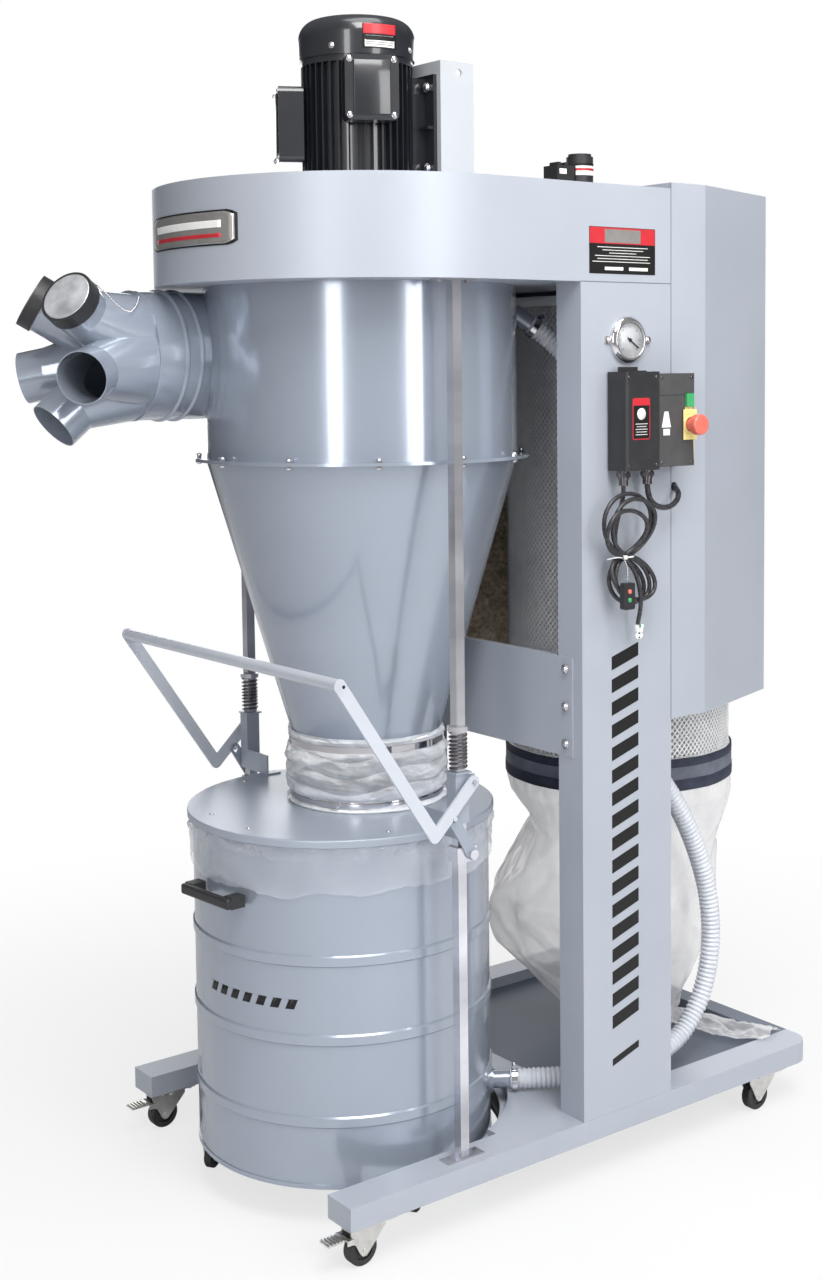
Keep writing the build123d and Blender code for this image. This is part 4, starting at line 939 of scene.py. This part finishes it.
# The tray's nose, whose edge follows the drum.
BAY_RADIUS, BAY_HALF, NOSE_Y, NOSE_Z = 308, 70, 326, 107.6
nose = [polar(BAY_RADIUS, math.radians(t), DRUM_X) for t in range(-BAY_HALF, BAY_HALF + 1, 5)]
nose += [(nose[-1][0], NOSE_Y), (300.5, NOSE_Y), (300.5, -NOSE_Y), (nose[0][0], -NOSE_Y)]
Shape().outline([(x, y, NOSE_Z) for x, y in nose], (0, 0, 1.8)).make(
    "tray_nose", "texture", bevel=0.3, smooth=False)


def lip_point(i, j):
    """A thin wall down from the nose's edge, black as painted shade under the tray."""
    radius, z = ((0, 60), (1.6, 60), (1.6, 109.2), (0, 109.2))[i]
    return Vector((*polar(BAY_RADIUS + radius, math.radians(5 * j - BAY_HALF), DRUM_X), z))


# The lip is coloured black as painted shade under the tray's nose.
Shape().grid(lip_point, 4, 29).make("tray_lip_painted_shade", "enamel")

# Plain slanted bars where such machines carry a graphic.
bars = Shape()
for z, height in [(300 + 44 * k, 26) for k in range(17)] + [(226, 14)]:
    bars.outline([(296, FACE, z), (366, FACE, z + 22), (366, FACE, z + 22 + height), (296, FACE, z + height)],
                 (0, -0.3, 0))
bars.make("post_bars", "print_black", smooth=False)
bars = Shape()
for k in range(7):
    def point(i, j):
        slant = 1.5 if i in (2, 3) else 0
        turn = math.radians(177 + 6.2 * k + slant + 3.4 * min(1.0, max(0.0, (j - 1) / 4)))
        depth = 0.4 if 0 < j < 6 and 0 < i < 5 else 0.0
        return Vector((*polar(DRUM_R + 0.3 + depth, turn, DRUM_X), 418 if i < 2 else 436))
    bars.grid(point, 6, 7)
bars.make("drum_bars", "print_black", "drum", flip=False)

# The agitator motor's sleeve of plain bands and its box's tag.
for name, z0, z1, mat in (("agitator_band_light", 1988, 2008, "white"),
                          ("agitator_band_dark", 2008, 2014, "print_black"),
                          ("agitator_band_red", 1998, 2003, "print_red")):
    wrapped(name, 29.2 + 0.4 * (mat == "print_red"), -150, -40, z0, z1, mat, x=577, thick=0.4)
plate("agitator_tag", 500, 520, 1988, 1999, -22, "white", thick=0.3)

# The rest of the motor's plate.
for k, (z, radius, mat) in enumerate(((2186, 113.1, "print_black"), (2190, 113.1, "print_black"),
                                      (2194, 113.1, "print_black"), (2202, 112.6, "white"))):
    wrapped(f"motor_plate_rule_{k}", radius, -116, -87, z, z + 1.1, mat, thick=0.2)

# The holes in the bail's ends.
ends_of = Shape()
for side in (-1, 1):
    ends_of.lathe([(3.2, 0), (3.2, 0.25), (0.01, 0.25)], (-321.7, side * 396.2, 1047.6), (0, side, 0), 18)
ends_of.make("bail_holes", "print_black", "lift_handle")


def beaded(name, line, bead=2.0, step=4.4):
    """A ball chain laid along a line of points."""
    beads = Shape()
    for place in evenly([Vector(p) for p in line], step):
        beads.lathe([(0.01, -bead), (bead * 0.75, -bead * 0.66), (bead, 0), (bead * 0.75, bead * 0.66),
                     (0.01, bead)], place, (0, 0, 1), 10)
    return beads.make(name, "chrome", None)


CAP_CHAIN = [(-526, 84, 1743), (-517, 75, 1733), (-505, 68, 1718), (-490, 64, 1702), (-474, 66, 1692),
             (-458, 73, 1690), (-444, 84, 1698), (-432, 95, 1709), (-424, 106, 1719)]
FOB_CHAIN = [(290, -437, 1223), (288, -445, 1212), (288, -449, 1198), (287, -449, 1184)]
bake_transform(beaded("cap_chain", CAP_CHAIN))
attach(beaded("remote_chain", FOB_CHAIN, bead=1.7, step=3.8), "frame")

for name, body, k in (("near", "cap_near", 1), ("far", "cap_far", 2)):
    rim, out = PORTS[k]
    face = Shape().lathe([(47, 0), (47, 0.8), (45, 1.2), (20, 1.4), (0.01, 1.4)], rim + out * 5, out, 60)
    face.make(f"cap_face_{name}", "bright", body)


# ---- light and floor --------------------------------------------------------------------------
def area(name, azimuth, elevation, distance, size, power, target=(0.0, 0.0, 1.1), glossy=True):
    """A soft light at an angle from a target, hidden from the camera."""
    a, e = math.radians(azimuth), math.radians(elevation)
    data = bpy.data.lights.new(name, "AREA")
    data.shape, data.energy = "RECTANGLE", power
    data.size, data.size_y = size
    lamp = bpy.data.objects.new(name, data)
    aim = Vector(target)
    away = Vector((math.cos(a) * math.cos(e), math.sin(a) * math.cos(e), math.sin(e)))
    lamp.location = aim + away * distance
    lamp.rotation_euler = (aim - lamp.location).to_track_quat("-Z", "Y").to_euler()
    lamp.visible_camera = False
    lamp.visible_glossy = glossy
    SCENE.collection.objects.link(lamp)


BARREL = (-0.176, 0.043, 1.9)
area("strip_left", -143, 6, 4.0, (0.75, 2.6), 40, target=BARREL)
area("strip_right", -86.5, 6, 4.0, (1.05, 2.6), 50, target=BARREL)
area("key", -62, 30, 5.0, (2.6, 2.6), 55, glossy=False)
area("high", -110, 54, 4.5, (2.2, 2.2), 150, target=(0.0, 0.0, 0.9))
area("back", 52, 15, 5.5, (7.0, 2.2), 100, target=(0.0, 0.0, 0.7))
area("top", -90, 80, 4.5, (3.0, 2.0), 60, target=(0.0, 0.0, 1.5))

def studio():
    """White behind the object, and for everything else a soft sky that is darker away from the lights."""
    world = bpy.data.worlds.new("studio")
    SCENE.world = world
    world.use_nodes = True
    tree = world.node_tree
    tree.nodes.clear()
    output = new_node(tree, "OutputWorld")
    mix = new_node(tree, "MixShader")
    ray = new_node(tree, "LightPath")
    seen = new_node(tree, "Background", Color=(1, 1, 1, 1))
    around = new_node(tree, "Background", Strength=0.36)
    coords = new_node(tree, "TexCoord")
    split = new_node(tree, "VectorMath")
    split.operation = "DOT_PRODUCT"
    split.inputs[1].default_value = (-0.42, -0.62, 0.66)
    lift = new_node(tree, "MapRange", From_Min=-1.0)
    shade = new_node(tree, "ValToRGB")
    for stop, where, colour in ((0, 0.28, (0.16, 0.17, 0.20, 1)), (1, 0.78, (1.1, 1.1, 1.1, 1))):
        shade.color_ramp.elements[stop].position = where
        shade.color_ramp.elements[stop].color = colour
    wire(tree, (coords, "Generated", split, 0), (split, "Value", lift, "Value"),
         (lift, "Result", shade, "Fac"), (shade, "Color", around, "Color"),
         (ray, "Is Camera Ray", mix, "Fac"), (around, "Background", mix, 1),
         (seen, "Background", mix, 2), (mix, "Shader", output, "Surface"))


def pale_floor(half=9, z=-0.0006):
    """The stand-in floor: pale paper that fades to white away from the object."""
    mesh = bpy.data.meshes.new("floor")
    corners = [(-half, -half, z), (half, -half, z), (half, half, z), (-half, half, z)]
    mesh.from_pydata(corners, [], [(0, 1, 2, 3)])
    floor = bpy.data.objects.new("floor", mesh)
    SCENE.collection.objects.link(floor)
    paper = shader("floor_paper", (0.70, 0.70, 0.71), 0.8, shades=0.01, specular=0.1)
    tree = paper.node_tree
    glow = new_node(tree, "Emission", Color=(1, 1, 1, 1))
    coords = new_node(tree, "TexCoord")
    reach = new_node(tree, "VectorMath")
    reach.operation = "LENGTH"
    fade = new_node(tree, "MapRange", From_Min=0.5, From_Max=2.6, To_Min=0.72, To_Max=1.0)
    fade.interpolation_type = "SMOOTHSTEP"
    mix = new_node(tree, "MixShader")
    seen = new_node(tree, "LightPath")
    only = new_node(tree, "Math")
    only.operation = "MULTIPLY"
    wire(tree, (coords, "Object", reach, 0), (reach, "Value", fade, "Value"),
         (fade, "Result", only, 0), (seen, "Is Camera Ray", only, 1), (only, "Value", mix, "Fac"),
         (tree.nodes["Principled BSDF"], "BSDF", mix, 1), (glow, "Emission", mix, 2),
         (mix, "Shader", tree.nodes["Material Output"], "Surface"))
    floor.data.materials.append(paper)


studio()
pale_floor()
SCENE.view_settings.view_transform = "Standard"
